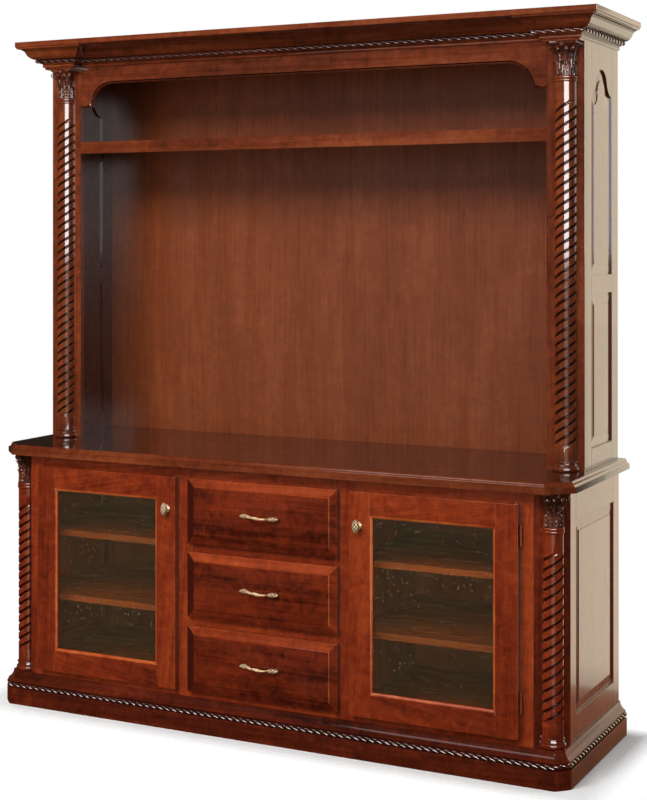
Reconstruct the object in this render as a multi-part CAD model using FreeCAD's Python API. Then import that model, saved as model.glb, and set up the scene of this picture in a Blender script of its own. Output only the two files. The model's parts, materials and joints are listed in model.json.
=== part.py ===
import FreeCAD, Part
import math
import os

os.makedirs("parts", exist_ok=True)

# Entertainment center: a low glass-door and drawer base that carries an open hutch.
# Millimetres. X runs along the width, +Z is up, the back stands at +Y and the front at -Y.
# Places are given as (x, depth, z), where depth is the distance in front of the wall.

# Base cabinet, driving sizes
carcass_width = 1919.0
carcass_depth = 568.0
cant_leg = 82.5
base_height = 864.0
base_top_thickness = 32.0
base_top_side_overhang = 34.5
base_top_front_overhang = 42.0
base_top_clip = 70.0
board = 19.0
back_panel_thickness = 6.0

# Base top edge
top_fascia_height = 17.0
top_edge_step = 3.0
top_edge_inset = 15.0
top_edge_band = 25.0

# Plinth
plinth_height = 105.0
plinth_overhang = 26.0
plinth_clip = 36.5
plinth_skirt_height = 54.5
plinth_rope_radius = 9.0
plinth_rope_seat_height = 19.0
plinth_cap_inset = 4.0
plinth_cap_fillet = 4.0
plinth_ledge_inset = 21.0
plinth_ledge_fillet = 5.0

# Face frame and the doors and drawer fronts that lie over it
outer_stile_width = 52.5
inner_stile_width = 66.0
drawer_opening_width = 502.6
overlay = 12.0
front_rise = 22.0
front_drop = 36.0
front_gap = 26.0
front_thickness = 19.0
front_seat_gap = 0.5

# Doors
door_stile_width = 66.0
sticking_width = 10.0
sticking_depth = 9.0
sticking_lip = 3.0
glass_thickness = 3.0
glass_clearance = 1.0
glass_bead_width = 8.0
knob_edge_distance = 30.0
knob_drop = 100.0
knob_height = 40.0
knob_width = 22.0
knob_projection = 27.0
knob_thickness = 18.0
knob_foot_radius = 12.0
knob_foot_thickness = 2.5
knob_neck_radius = 8.0

# Hinges
hinge_radius = 4.0
hinge_height = 56.0
hinge_pin_radius = 1.6
hinge_running_clearance = 0.05
hinge_knuckle_gap = 0.2
hinge_side_gap = 0.5
hinge_leaf_thickness = 1.4
hinge_leaf_width = 12.0
hinge_top_drop = 93.0
hinge_bottom_rise = 99.0
hinge_finial_radius = 3.6
mortise_clearance = 0.1

# Drawers
drawer_side_thickness = 12.7
drawer_bottom_thickness = 6.0
drawer_bottom_rise = 10.0
drawer_box_length = 500.0
drawer_box_drop = 14.0
drawer_box_foot = 12.0
field_bevel_width = 25.0
field_bevel_rise = 5.0
field_step = 2.5
slide_space = 12.7
slide_web = 1.5
slide_bar_height = 34.0
slide_bar_thickness = 9.0
slide_clearance = 0.4
slide_length = 480.0
pull_length = 138.0
pull_projection = 26.0
pull_bar_radius = 4.0
pull_bar_span = 96.0
pull_foot_length = 30.0
pull_foot_thickness = 12.0

# Shelves of the base
lower_shelf_share = 0.358
upper_shelf_share = 0.689
shelf_front_setback = 38.0
shelf_clearance = 1.5
shelf_back_gap = 3.0
shelf_clip_length = 12.0
shelf_clip_leg = 10.0
shelf_clip_thickness = 1.5
shelf_clip_inset = 60.0
stretcher_width = 60.0

# Base side frames and their raised panels
base_side_front_stile = 51.5
base_side_back_stile = 58.0
base_side_bottom_rail = 70.0
base_side_top_rail = 97.0
panel_tongue_thickness = 6.0
panel_groove_depth = 8.0
panel_groove_clearance = 0.2
panel_bevel_width = 33.0
panel_flush_setback = 2.0
panel_step = 2.0

# Hutch
hutch_side_setback = 3.0
hutch_depth = 342.0
hutch_height = 1340.0
hutch_stile_width = 117.5
hutch_side_front_stile = 47.0
hutch_side_back_stile = 66.0
hutch_side_bottom_rail = 60.0
hutch_side_middle_rail = 55.0
hutch_lower_panel_height = 461.0
hutch_arch_shoulder_drop = 219.0
hutch_arch_rise = 78.0
screen_bay_height = 977.0
hutch_shelf_lip_height = 40.0
valance_straight_height = 125.0
valance_foot_height = 204.0
valance_foot_length = 44.0
valance_arch_width = 86.0

# Crown
crown_height = 66.0
crown_projection = 70.0
crown_board_thickness = 18.0
crown_board_overhang = 4.0
crown_block_projection = 44.0
crown_bead_height = 9.0
crown_lower_cove_offset = 19.0
crown_lower_cove_height = 16.0
crown_rope_radius = 5.5
crown_rope_seat_height = 11.0
crown_upper_offset = 28.0
crown_waist_offset = 48.0
crown_waist_height = 49.0
crown_lip_height = 61.0
crown_lip_return = 2.0
crown_block_drop = 7.0

# Half columns, alike on the base and the hutch
column_radius = 32.0
column_foot_height = 25.0
column_foot_radius = 39.0
column_foot_ring_radius = 35.5
column_foot_ring_height = 9.0
column_neck_height = 18.0
column_neck_radius = 35.0
capital_height = 100.0
capital_width = 84.0
capital_bell_foot_radius = 29.0
capital_bell_waist_radius = 27.0
capital_bell_top_radius = 36.0
capital_abacus_height = 9.0
capital_volute_radius = 10.0
capital_volute_length = 14.0
capital_volute_set = 3.0

# Cuts run past what they cut by this much
overrun = 5.0

# Turns, in degrees
full_turn_deg = 360
half_turn_deg = 180
cant_angle_deg = 45

# Side of a square as a share of its diagonal, and how a clearance grows round a canted corner
diagonal_share = math.sqrt(0.5)
cant_clear_share = math.tan(math.radians(cant_angle_deg / 2))

# Chord height of a quarter circle, and of gentler curves, as shares of the chord
quarter_bow_share = cant_clear_share / 2
gentle_bow_share = 0.12
pull_foot_bow_share = 0.26

# Sizes that follow from those above
half_carcass = carcass_width / 2
face_back = carcass_depth - board
base_body_top_z = base_height - base_top_thickness
front_bottom_z = plinth_height + front_rise
front_top_z = base_body_top_z - front_drop
drawer_half_opening = drawer_opening_width / 2
door_opening_inner = drawer_half_opening + inner_stile_width
carcass_front_corner = half_carcass - cant_leg
cant_back_depth = carcass_depth - cant_leg
door_opening_outer = carcass_front_corner - outer_stile_width
door_inner_edge = door_opening_inner - overlay
door_outer_edge = door_opening_outer + overlay
drawer_half_front = drawer_half_opening + overlay
front_back = carcass_depth + front_seat_gap
front_face = front_back + front_thickness
opening_bottom_z = front_bottom_z + overlay
opening_top_z = front_top_z - overlay
drawer_front_height = (front_top_z - front_bottom_z - 2 * front_gap) / 3
base_floor_top_z = opening_bottom_z
shelf_tops = [
    base_floor_top_z + (opening_top_z - base_floor_top_z) * share
    for share in (lower_shelf_share, upper_shelf_share)
]
inner_side_x = half_carcass - board
hutch_top_z = base_height + hutch_height
hutch_side_middle_z = base_height + hutch_side_bottom_rail + hutch_lower_panel_height
hutch_arch_shoulder_z = hutch_top_z - hutch_arch_shoulder_drop
hutch_shelf_top_z = base_height + screen_bay_height + hutch_shelf_lip_height
valance_straight_z = hutch_top_z - valance_straight_height
valance_foot_z = hutch_top_z - valance_foot_height
half_hutch = half_carcass - hutch_side_setback
hutch_inner_x = half_hutch - board
hutch_stile_back = hutch_depth - board
hutch_opening_x = half_hutch - hutch_stile_width
block_face = hutch_depth + crown_block_projection
crown_bottom_z = hutch_top_z - crown_height
capital_top_z = crown_bottom_z - crown_block_drop
reach_depth = front_face + max(pull_projection, knob_projection)
wall_y = reach_depth / 2


# Placing

def at(x, depth, z):
    return FreeCAD.Vector(x, wall_y - depth, z)


def turn(x, depth, z=0.0):
    return FreeCAD.Vector(x, -depth, z)


def mirrored(shape):
    return shape.mirror(FreeCAD.Vector(0, 0, 0), FreeCAD.Vector(1, 0, 0))


def group(shapes):
    return Part.makeCompound(list(shapes))


def joined(first, others):
    return first.fuse(list(others)).removeSplitter()


def write(name, shape):
    shape.exportStep("parts/" + name + ".step")


def write_pair(name, right):
    write(name + "_right", right)
    write(name + "_left", mirrored(right))


# Plain solids

def block(x_low, x_high, depth_back, depth_front, z_low, z_high):
    corner = at(x_low, depth_front, z_low)
    return Part.makeBox(x_high - x_low, depth_front - depth_back, z_high - z_low, corner)


def prism(corners, push):
    wire = Part.makePolygon(corners + corners[:1])
    return Part.Face(wire).extrude(push)


def plan_prism(points, z_low, z_high):
    corners = [at(x, depth, z_low) for x, depth in points]
    return prism(corners, FreeCAD.Vector(0, 0, z_high - z_low))


def bow(start, end, share):
    # Middle point of an arc that leaves its chord on the left by a share of the chord
    run = (end[0] - start[0], end[1] - start[1])
    middle = ((start[0] + end[0]) / 2, (start[1] + end[1]) / 2)
    return (middle[0] - run[1] * share, middle[1] + run[0] * share)


def outline_edges(start, steps, place):
    # Each step is (point, bow share); a share of zero is a straight line
    edges = []
    here = start
    for point, share in steps:
        if share:
            middle = bow(here, point, share)
            edges.append(Part.Arc(place(here), place(middle), place(point)).toShape())
        else:
            edges.append(Part.makeLine(place(here), place(point)))
        here = point
    return edges


def outline_face(start, steps, place):
    closed = steps + [(start, 0)]
    return Part.Face(Part.Wire(outline_edges(start, closed, place)))


# Mouldings that follow a plan path of (x, depth) points, with the outside on the right hand

def unit(start, end):
    run = (end[0] - start[0], end[1] - start[1])
    length = math.hypot(run[0], run[1])
    return (run[0] / length, run[1] / length)


def normals(path):
    directions = [unit(path[i], path[i + 1]) for i in range(len(path) - 1)]
    return [(along[1], -along[0]) for along in directions]


def mitres(path):
    sides = normals(path)
    found = [sides[0]]
    for before, after in zip(sides, sides[1:]):
        spread = 1 + before[0] * after[0] + before[1] * after[1]
        found.append(((before[0] + after[0]) / spread, (before[1] + after[1]) / spread))
    found.append(sides[-1])
    return found


def shifted(path, offset):
    return [(p[0] + m[0] * offset, p[1] + m[1] * offset) for p, m in zip(path, mitres(path))]


def moulding_runs(path, start, steps):
    # start and steps outline the section as (offset outwards, z); one mitred solid per run
    corners = [start] + [point for point, share in steps]
    low = min(point[0] for point in corners)
    high = max(point[0] for point in corners)
    low_z = min(point[1] for point in corners) - overrun
    high_z = max(point[1] for point in corners) + overrun
    spare = abs(low) + abs(high) + overrun
    inner = shifted(path, low)
    outer = shifted(path, high)
    runs = []
    for i, side in enumerate(normals(path)):
        along = unit(path[i], path[i + 1])
        length = math.hypot(path[i + 1][0] - path[i][0], path[i + 1][1] - path[i][1])
        begin = (path[i][0] - along[0] * spare, path[i][1] - along[1] * spare)

        def place(point):
            return at(begin[0] + side[0] * point[0], begin[1] + side[1] * point[0], point[1])

        section = outline_face(start, steps, place)
        bar = section.extrude(turn(along[0] * (length + 2 * spare), along[1] * (length + 2 * spare)))
        plan = [inner[i], inner[i + 1], outer[i + 1], outer[i]]
        runs.append(bar.common(plan_prism(plan, low_z, high_z)).Solids[0])
    return runs


def around(half_width, depth, clip):
    # Right side, clipped corner, front, clipped corner, left side
    return [
        (half_width, 0.0),
        (half_width, depth - clip),
        (half_width - clip, depth),
        (clip - half_width, depth),
        (-half_width, depth - clip),
        (-half_width, 0.0),
    ]


def bead_section(offset, z_middle, radius):
    # Half round with its flat back at the offset
    foot = (offset, z_middle - radius)
    nose = (offset + radius, z_middle)
    head = (offset, z_middle + radius)
    return foot, [(nose, -quarter_bow_share), (head, -quarter_bow_share)]


# Plinth

plinth_path = around(half_carcass + plinth_overhang, carcass_depth + plinth_overhang, plinth_clip)
plinth_inset = plinth_overhang + board
plinth_rope_top_z = plinth_skirt_height + plinth_rope_seat_height


def plinth_frame():
    cove_foot = (-plinth_cap_inset, plinth_rope_top_z + plinth_cap_fillet)
    cove_head = (-plinth_ledge_inset, plinth_height - plinth_ledge_fillet)
    steps = [
        ((0.0, plinth_skirt_height), 0),
        ((-plinth_rope_radius, plinth_skirt_height), 0),
        ((-plinth_rope_radius, plinth_rope_top_z), 0),
        ((-plinth_cap_inset, plinth_rope_top_z), 0),
        (cove_foot, 0),
        (cove_head, gentle_bow_share),
        ((-plinth_ledge_inset, plinth_height), 0),
        ((-plinth_inset, plinth_height), 0),
        ((-plinth_inset, 0.0), 0),
    ]
    return moulding_runs(plinth_path, (0.0, 0.0), steps)


def plinth_corner_block():
    inner = shifted(plinth_path, -plinth_inset)
    outline = [inner[1], inner[2], (carcass_front_corner, face_back), (inner_side_x, cant_back_depth)]
    return plan_prism(outline, 0.0, plinth_height)


def plinth_back_rail():
    return block(-inner_side_x, inner_side_x, 0.0, board, 0.0, plinth_height)


def plinth_rope():
    middle_z = plinth_skirt_height + plinth_rope_seat_height / 2
    start, steps = bead_section(-plinth_rope_radius, middle_z, plinth_rope_radius)
    return group(moulding_runs(plinth_path, start, steps))


# Base carcass

def corner_cant():
    outline = [
        (half_carcass, cant_back_depth),
        (carcass_front_corner, carcass_depth),
        (carcass_front_corner, face_back),
        (inner_side_x, cant_back_depth),
    ]
    return plan_prism(outline, plinth_height, base_body_top_z)


def floor_outline(clear):
    # Plan inside the sides, cants and face frame, drawn in by a clearance
    cut = clear * cant_clear_share
    side = inner_side_x - clear
    front = face_back - clear
    return [
        (side, back_panel_thickness),
        (side, cant_back_depth - cut),
        (carcass_front_corner - cut, front),
        (cut - carcass_front_corner, front),
        (-side, cant_back_depth - cut),
        (-side, back_panel_thickness),
    ]


def base_bottom():
    return plan_prism(floor_outline(0.0), base_floor_top_z - board, base_floor_top_z)


def base_back():
    return block(-inner_side_x, inner_side_x, 0.0, back_panel_thickness, plinth_height, base_body_top_z)


def base_partition():
    inner = drawer_half_opening
    top_z = base_body_top_z - board
    return block(inner, inner + board, back_panel_thickness, face_back, base_floor_top_z, top_z)


def base_stretchers():
    low_z = base_body_top_z - board
    back_edge = back_panel_thickness + stretcher_width
    front_half = carcass_front_corner
    back = block(-inner_side_x, inner_side_x, back_panel_thickness, back_edge, low_z, base_body_top_z)
    front = block(-front_half, front_half, face_back - stretcher_width, face_back, low_z, base_body_top_z)
    return [back, front]


def hinge_heights():
    return [front_bottom_z + hinge_bottom_rise, front_top_z - hinge_top_drop]


def face_stiles():
    outer = block(door_opening_outer, carcass_front_corner, face_back, carcass_depth,
                  plinth_height, base_body_top_z)
    outer = outer.cut(group(hinge_mortise(z, "cabinet") for z in hinge_heights()))
    inner = block(drawer_half_opening, door_opening_inner, face_back, carcass_depth,
                  plinth_height, base_body_top_z)
    return [outer, inner, mirrored(inner), mirrored(outer)]


def face_rails():
    rails = []
    spans = [
        (-door_opening_outer, -door_opening_inner),
        (-drawer_half_opening, drawer_half_opening),
        (door_opening_inner, door_opening_outer),
    ]
    for low_x, high_x in spans:
        rails.append(block(low_x, high_x, face_back, carcass_depth, plinth_height, opening_bottom_z))
        rails.append(block(low_x, high_x, face_back, carcass_depth, opening_top_z, base_body_top_z))
    for row in (1, 2):
        gap_z = front_bottom_z + row * drawer_front_height + (row - 1) * front_gap
        rails.append(block(-drawer_half_opening, drawer_half_opening, face_back, carcass_depth,
                           gap_z - overlay, gap_z + front_gap + overlay))
    return rails


def base_top():
    path = around(half_carcass + base_top_side_overhang, carcass_depth + base_top_front_overhang,
                  base_top_clip)
    low_z = base_body_top_z
    fascia_z = low_z + top_fascia_height
    waist = (-(top_edge_step + top_edge_inset) / 2, (fascia_z + base_height) / 2)
    steps = [
        ((0.0, fascia_z), 0),
        ((-top_edge_step, fascia_z), 0),
        (waist, gentle_bow_share),
        ((-top_edge_inset, base_height), -gentle_bow_share),
        ((-top_edge_band, base_height), 0),
        ((-top_edge_band, low_z), 0),
    ]
    core = plan_prism(shifted(path, -top_edge_band), low_z, base_height)
    return joined(core, moulding_runs(path, (0.0, low_z), steps))


# Shelves behind the doors

def base_shelf(top_z):
    inner = drawer_half_opening + board + shelf_clearance
    front = face_back + board - shelf_front_setback
    plan = plan_prism(floor_outline(shelf_clearance), top_z - board, top_z)
    back = back_panel_thickness + shelf_back_gap
    return plan.common(block(inner, half_carcass, back, front, top_z - board, top_z))


def shelf_clips(top_z):
    # Angle clips that carry a shelf: one leg on the upright, one leg under the board
    under_z = top_z - board
    clips = []
    for wall_x, inward in ((drawer_half_opening + board, 1), (inner_side_x, -1)):
        for middle in (back_panel_thickness + shelf_clip_inset, cant_back_depth - shelf_clip_inset):
            back = middle - shelf_clip_length / 2
            front = middle + shelf_clip_length / 2
            plate_x = sorted((wall_x, wall_x + inward * shelf_clip_thickness))
            arm_x = sorted((wall_x, wall_x + inward * shelf_clip_leg))
            plate = block(plate_x[0], plate_x[1], back, front, under_z - shelf_clip_leg, under_z)
            arm = block(arm_x[0], arm_x[1], back, front, under_z - shelf_clip_thickness, under_z)
            clips.append(joined(plate, [arm]))
    return clips


# Side frames with raised panels; outlines are (depth, z) and the outer face is at the given x

def side_prism(start, steps, x_low, x_high):
    face = outline_face(start, steps, lambda p: at(x_low, p[0], p[1]))
    return face.extrude(FreeCAD.Vector(x_high - x_low, 0, 0))


def rectangle(back, front, low_z, high_z, grow):
    start = (back - grow, low_z - grow)
    steps = [
        ((front + grow, low_z - grow), 0),
        ((front + grow, high_z + grow), 0),
        ((back - grow, high_z + grow), 0),
    ]
    return start, steps


def arched(back, front, low_z, shoulder_z, rise, grow):
    # Cathedral head: each side leaves the shoulder level, bends up and levels out at the middle
    middle = (back + front) / 2
    half = (front - back) / 2 + grow
    start = (middle - half, low_z - grow)
    base_z = shoulder_z + grow
    swing_share = math.tan(math.atan2(rise, half) / 2) / 2
    steps = [
        ((middle + half, low_z - grow), 0),
        ((middle + half, base_z), 0),
        ((middle + half / 2, base_z + rise / 2), swing_share),
        ((middle, base_z + rise), -swing_share),
        ((middle - half / 2, base_z + rise / 2), -swing_share),
        ((middle - half, base_z), swing_share),
    ]
    return start, steps


def raised_panel(outline, outer_x):
    # A tongue all round, a bevel that rises to the field, and the field just behind the frame's face
    tongue_low = outer_x - board / 2 - panel_tongue_thickness / 2
    tongue_high = outer_x - board / 2 + panel_tongue_thickness / 2
    field_x = outer_x - panel_flush_setback
    start, steps = outline(panel_groove_depth)
    tongue = side_prism(start, steps, tongue_low, tongue_high)
    wires = []
    for inset, x in ((-panel_groove_clearance, tongue_high), (-panel_bevel_width, field_x - panel_step)):
        start, steps = outline(inset)
        edges = outline_edges(start, steps + [(start, 0)], lambda p: at(x, p[0], p[1]))
        wires.append(Part.Wire(edges))
    bevel = Part.makeLoft(wires, True, True)
    start, steps = outline(-panel_bevel_width)
    field = side_prism(start, steps, tongue_high, field_x)
    return joined(tongue, [bevel, field])


def groove(outline, outer_x):
    start, steps = outline(panel_groove_depth + panel_groove_clearance)
    half = panel_tongue_thickness / 2 + panel_groove_clearance
    return side_prism(start, steps, outer_x - board / 2 - half, outer_x - board / 2 + half)


def opening_cut(outline, outer_x):
    start, steps = outline(0.0)
    return side_prism(start, steps, outer_x - board - overrun, outer_x + overrun)


def base_side_outline(grow):
    front = cant_back_depth - base_side_front_stile
    low_z = plinth_height + base_side_bottom_rail
    high_z = base_body_top_z - base_side_top_rail
    return rectangle(base_side_back_stile, front, low_z, high_z, grow)


def base_side_frame():
    outer = half_carcass
    inner = inner_side_x
    back = base_side_back_stile
    front = cant_back_depth - base_side_front_stile
    low_z = plinth_height
    high_z = base_body_top_z
    members = [
        block(inner, outer, 0.0, back, low_z, high_z),
        block(inner, outer, front, cant_back_depth, low_z, high_z),
        block(inner, outer, back, front, low_z, low_z + base_side_bottom_rail),
        block(inner, outer, back, front, high_z - base_side_top_rail, high_z),
    ]
    channel = groove(base_side_outline, outer)
    return group(member.cut(channel) for member in members)


def base_side_panel():
    return raised_panel(base_side_outline, half_carcass)


def hutch_lower_outline(grow):
    front = hutch_stile_back - hutch_side_front_stile
    low_z = base_height + hutch_side_bottom_rail
    return rectangle(hutch_side_back_stile, front, low_z, hutch_side_middle_z, grow)


def hutch_upper_outline(grow):
    front = hutch_stile_back - hutch_side_front_stile
    low_z = hutch_side_middle_z + hutch_side_middle_rail
    return arched(hutch_side_back_stile, front, low_z, hutch_arch_shoulder_z, hutch_arch_rise, grow)


def hutch_side_frame():
    outer = half_hutch
    inner = hutch_inner_x
    back = hutch_side_back_stile
    front = hutch_stile_back - hutch_side_front_stile
    rail_top = hutch_side_middle_z + hutch_side_middle_rail
    members = [
        block(inner, outer, 0.0, back, base_height, hutch_top_z),
        block(inner, outer, front, hutch_stile_back, base_height, hutch_top_z),
        block(inner, outer, back, front, base_height, base_height + hutch_side_bottom_rail),
        block(inner, outer, back, front, hutch_side_middle_z, rail_top),
        block(inner, outer, back, front, hutch_arch_shoulder_z, hutch_top_z),
    ]
    cuts = [
        groove(hutch_lower_outline, outer),
        groove(hutch_upper_outline, outer),
        opening_cut(hutch_upper_outline, outer),
    ]
    return group(member.cut(cuts) for member in members)


def hutch_side_panels():
    lower = raised_panel(hutch_lower_outline, half_hutch)
    upper = raised_panel(hutch_upper_outline, half_hutch)
    return group([lower, upper])


# Hutch case

def hutch_back():
    return block(-hutch_inner_x, hutch_inner_x, 0.0, back_panel_thickness, base_height, hutch_top_z)


def hutch_stile():
    return block(hutch_opening_x, half_hutch, hutch_stile_back, hutch_depth, base_height, hutch_top_z)


def hutch_shelf():
    top_z = hutch_shelf_top_z
    shelf = block(-hutch_inner_x, hutch_inner_x, back_panel_thickness, hutch_stile_back,
                  top_z - board, top_z)
    lip = block(-hutch_opening_x, hutch_opening_x, hutch_stile_back, hutch_depth,
                top_z - hutch_shelf_lip_height, top_z)
    return group([shelf, lip])


def hutch_valance():
    # Flat feet at both ends, quarter rounds, and a long straight underside
    edge = hutch_opening_x
    foot = edge - valance_foot_length
    straight = foot - valance_arch_width
    start = (-edge, valance_foot_z)
    steps = [
        ((-foot, valance_foot_z), 0),
        ((-straight, valance_straight_z), quarter_bow_share),
        ((straight, valance_straight_z), 0),
        ((foot, valance_foot_z), quarter_bow_share),
        ((edge, valance_foot_z), 0),
        ((edge, hutch_top_z), 0),
        ((-edge, hutch_top_z), 0),
    ]
    face = outline_face(start, steps, lambda p: at(p[0], hutch_stile_back, p[1]))
    return face.extrude(turn(0.0, board))


def hutch_top():
    return block(-hutch_inner_x, hutch_inner_x, back_panel_thickness, hutch_stile_back,
                 hutch_top_z - board, hutch_top_z)


# Crown



def crown_path():
    edge = hutch_opening_x
    right = [(half_hutch, 0.0), (half_hutch, block_face), (edge, block_face), (edge, hutch_depth)]
    return right + [(-x, depth) for x, depth in reversed(right)]


def crown_moulding():
    low = crown_bottom_z
    cove_top = low + crown_lower_cove_height
    seat_top = cove_top + crown_rope_seat_height
    seat = crown_lower_cove_offset
    steps = [
        ((crown_bead_height / 2, low), 0),
        ((crown_bead_height / 2, low + crown_bead_height), -quarter_bow_share),
        ((seat, cove_top), gentle_bow_share),
        ((seat, seat_top), 0),
        ((crown_upper_offset, seat_top), 0),
        ((crown_waist_offset, low + crown_waist_height), -gentle_bow_share),
        ((crown_projection - crown_lip_return, low + crown_lip_height), gentle_bow_share),
        ((crown_projection, low + crown_lip_height), 0),
        ((crown_projection, hutch_top_z), 0),
        ((0.0, hutch_top_z), 0),
    ]
    return group(moulding_runs(crown_path(), (0.0, low), steps))


def crown_rope():
    seat_middle = crown_bottom_z + crown_lower_cove_height + crown_rope_seat_height / 2
    start, steps = bead_section(crown_lower_cove_offset, seat_middle, crown_rope_radius)
    return group(moulding_runs(crown_path(), start, steps))


def crown_block():
    return block(hutch_opening_x, half_hutch, hutch_depth, block_face, capital_top_z, hutch_top_z)


def crown_board():
    half = half_hutch + crown_projection + crown_board_overhang
    front = block_face + crown_projection + crown_board_overhang
    return block(-half, half, 0.0, front, hutch_top_z, hutch_top_z + crown_board_thickness)


# Half columns and capitals, drawn at the origin facing -Y and then set on their face

def set_on_face(shape, x, depth, heading):
    # heading is the turn about +Z, in degrees, from facing the front
    placed = shape.copy()
    placed.rotate(FreeCAD.Vector(0, 0, 0), FreeCAD.Vector(0, 0, 1), heading)
    placed.translate(at(x, depth, 0.0))
    return placed


def half_turned(start, steps):
    # Revolves an outline of (radius, z) through half a turn, on the -Y side
    face = outline_face(start, steps, lambda p: FreeCAD.Vector(-p[0], 0, p[1]))
    return face.revolve(FreeCAD.Vector(0, 0, 0), FreeCAD.Vector(0, 0, 1), half_turn_deg)


def half_column(foot_z, head_z):
    torus_top = foot_z + column_foot_height - column_foot_ring_height
    ring_top = foot_z + column_foot_height
    neck_foot = head_z - column_neck_height
    neck_middle = head_z - column_neck_height / 2
    steps = [
        ((column_foot_radius, foot_z), 0),
        ((column_foot_radius, torus_top), -gentle_bow_share),
        ((column_foot_ring_radius, torus_top), 0),
        ((column_foot_ring_radius, ring_top), -gentle_bow_share),
        ((column_radius, ring_top), 0),
        ((column_radius, neck_foot), 0),
        ((column_neck_radius, neck_foot), 0),
        ((column_neck_radius, neck_middle), -gentle_bow_share),
        ((column_neck_radius, head_z), -gentle_bow_share),
        ((0.0, head_z), 0),
    ]
    return half_turned((0.0, foot_z), steps)


def capital(foot_z, head_z):
    # Flared bell, square abacus and two scrolls under its front corners
    bell_top = head_z - capital_abacus_height
    waist_z = (foot_z + bell_top) / 2
    steps = [
        ((capital_bell_foot_radius, foot_z), 0),
        ((capital_bell_waist_radius, waist_z), gentle_bow_share / 2),
        ((capital_bell_top_radius, bell_top), gentle_bow_share),
        ((0.0, bell_top), 0),
    ]
    bell = half_turned((0.0, foot_z), steps)
    half = capital_width / 2
    abacus = Part.makeBox(capital_width, half, capital_abacus_height,
                          FreeCAD.Vector(-half, -half, bell_top))
    scrolls = []
    for side in (-1, 1):
        # Each scroll lies across its corner's diagonal, let into the abacus and the bell
        inset = (capital_volute_radius + capital_volute_length / 2) * diagonal_share
        centre = FreeCAD.Vector(side * (half - inset), inset - half,
                                bell_top - capital_volute_radius + capital_volute_set)
        across = FreeCAD.Vector(1, side, 0).normalize()
        start = centre - across * (capital_volute_length / 2)
        scrolls.append(Part.makeCylinder(capital_volute_radius, capital_volute_length, start, across))
    return joined(bell, [abacus] + scrolls)


cant_middle = cant_leg / 2
base_column_place = (half_carcass - cant_middle, cant_back_depth + cant_middle, cant_angle_deg)
hutch_column_place = (half_hutch - hutch_stile_width / 2, hutch_depth, 0.0)


def base_column():
    return set_on_face(half_column(plinth_height, base_body_top_z - capital_height),
                       *base_column_place)


def base_capital():
    return set_on_face(capital(base_body_top_z - capital_height, base_body_top_z),
                       *base_column_place)


def hutch_column():
    return set_on_face(half_column(base_height, capital_top_z - capital_height),
                       *hutch_column_place)


def hutch_capital():
    return set_on_face(capital(capital_top_z - capital_height, capital_top_z),
                       *hutch_column_place)


# Hinges, drawn for the right door, whose axis stands just outside the door's outer edge

hinge_axis_x = door_outer_edge + hinge_side_gap + hinge_radius
hinge_axis_depth = carcass_depth + hinge_side_gap + hinge_radius


def hinge_mortise(middle_z, owner):
    half = hinge_height / 2 + mortise_clearance
    depth = hinge_leaf_thickness + mortise_clearance
    low_x = door_outer_edge - hinge_leaf_width - mortise_clearance
    if owner == "cabinet":
        high_x = hinge_axis_x + hinge_radius + mortise_clearance
        return block(low_x, high_x, carcass_depth - depth, carcass_depth + overrun,
                     middle_z - half, middle_z + half)
    return block(low_x, door_outer_edge + overrun, front_back - overrun, front_back + depth,
                 middle_z - half, middle_z + half)


def hinge_leaf(middle_z, owner):
    # Each leaf is let into its own piece; three knuckles stand on the pin
    third = hinge_height / 3
    low_x = door_outer_edge - hinge_leaf_width
    axis = at(hinge_axis_x, hinge_axis_depth, 0.0)
    up = FreeCAD.Vector(0, 0, 1)
    if owner == "cabinet":
        plate = block(low_x, hinge_axis_x + hinge_radius, carcass_depth - hinge_leaf_thickness,
                      carcass_depth, middle_z - hinge_height / 2, middle_z + hinge_height / 2)
        pieces = []
        for low_z in (middle_z - hinge_height / 2, middle_z + third / 2):
            foot = axis + up * low_z
            pieces.append(Part.makeCylinder(hinge_radius, third, foot, up))
            pieces.append(block(hinge_axis_x, hinge_axis_x + hinge_radius, carcass_depth,
                                hinge_axis_depth, low_z, low_z + third))
        pin_foot = axis + up * (middle_z - hinge_height / 2)
        pieces.append(Part.makeCylinder(hinge_pin_radius, hinge_height, pin_foot, up))
        for low_z in (middle_z - hinge_height / 2, middle_z + hinge_height / 2):
            pieces.append(Part.makeSphere(hinge_finial_radius, axis + up * low_z))
        return joined(plate, pieces)
    low_z = middle_z - third / 2 + hinge_knuckle_gap
    tall = third - 2 * hinge_knuckle_gap
    plate = block(low_x, door_outer_edge, front_back, front_back + hinge_leaf_thickness,
                  middle_z - hinge_height / 2, middle_z + hinge_height / 2)
    neck = block(door_outer_edge, hinge_axis_x, front_back, front_back + hinge_leaf_thickness,
                 low_z, low_z + tall)
    barrel = Part.makeCylinder(hinge_radius, tall, axis + up * low_z, up)
    bore = Part.makeCylinder(hinge_pin_radius + hinge_running_clearance, tall + 2 * overrun,
                             axis + up * (low_z - overrun), up)
    return joined(plate, [neck, barrel]).cut(bore)


def cabinet_hinge_leaves():
    return [hinge_leaf(z, "cabinet") for z in hinge_heights()]


def door_hinge_leaves():
    return group(hinge_leaf(z, "door") for z in hinge_heights())


# Doors, drawn for the right side

def door_frame():
    low_x = door_inner_edge
    high_x = door_outer_edge
    wide = door_stile_width
    back = front_back
    front = front_face
    members = [
        block(low_x, low_x + wide, back, front, front_bottom_z, front_top_z),
        block(high_x - wide, high_x, back, front, front_bottom_z, front_top_z),
        block(low_x + wide, high_x - wide, back, front, front_bottom_z, front_bottom_z + wide),
        block(low_x + wide, high_x - wide, back, front, front_top_z - wide, front_top_z),
    ]
    members[1] = members[1].cut(group(hinge_mortise(z, "door") for z in hinge_heights()))
    framed = [joined(member, [strip]) for member, strip in zip(members, door_sticking())]
    return group(framed + glass_beads())


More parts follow.
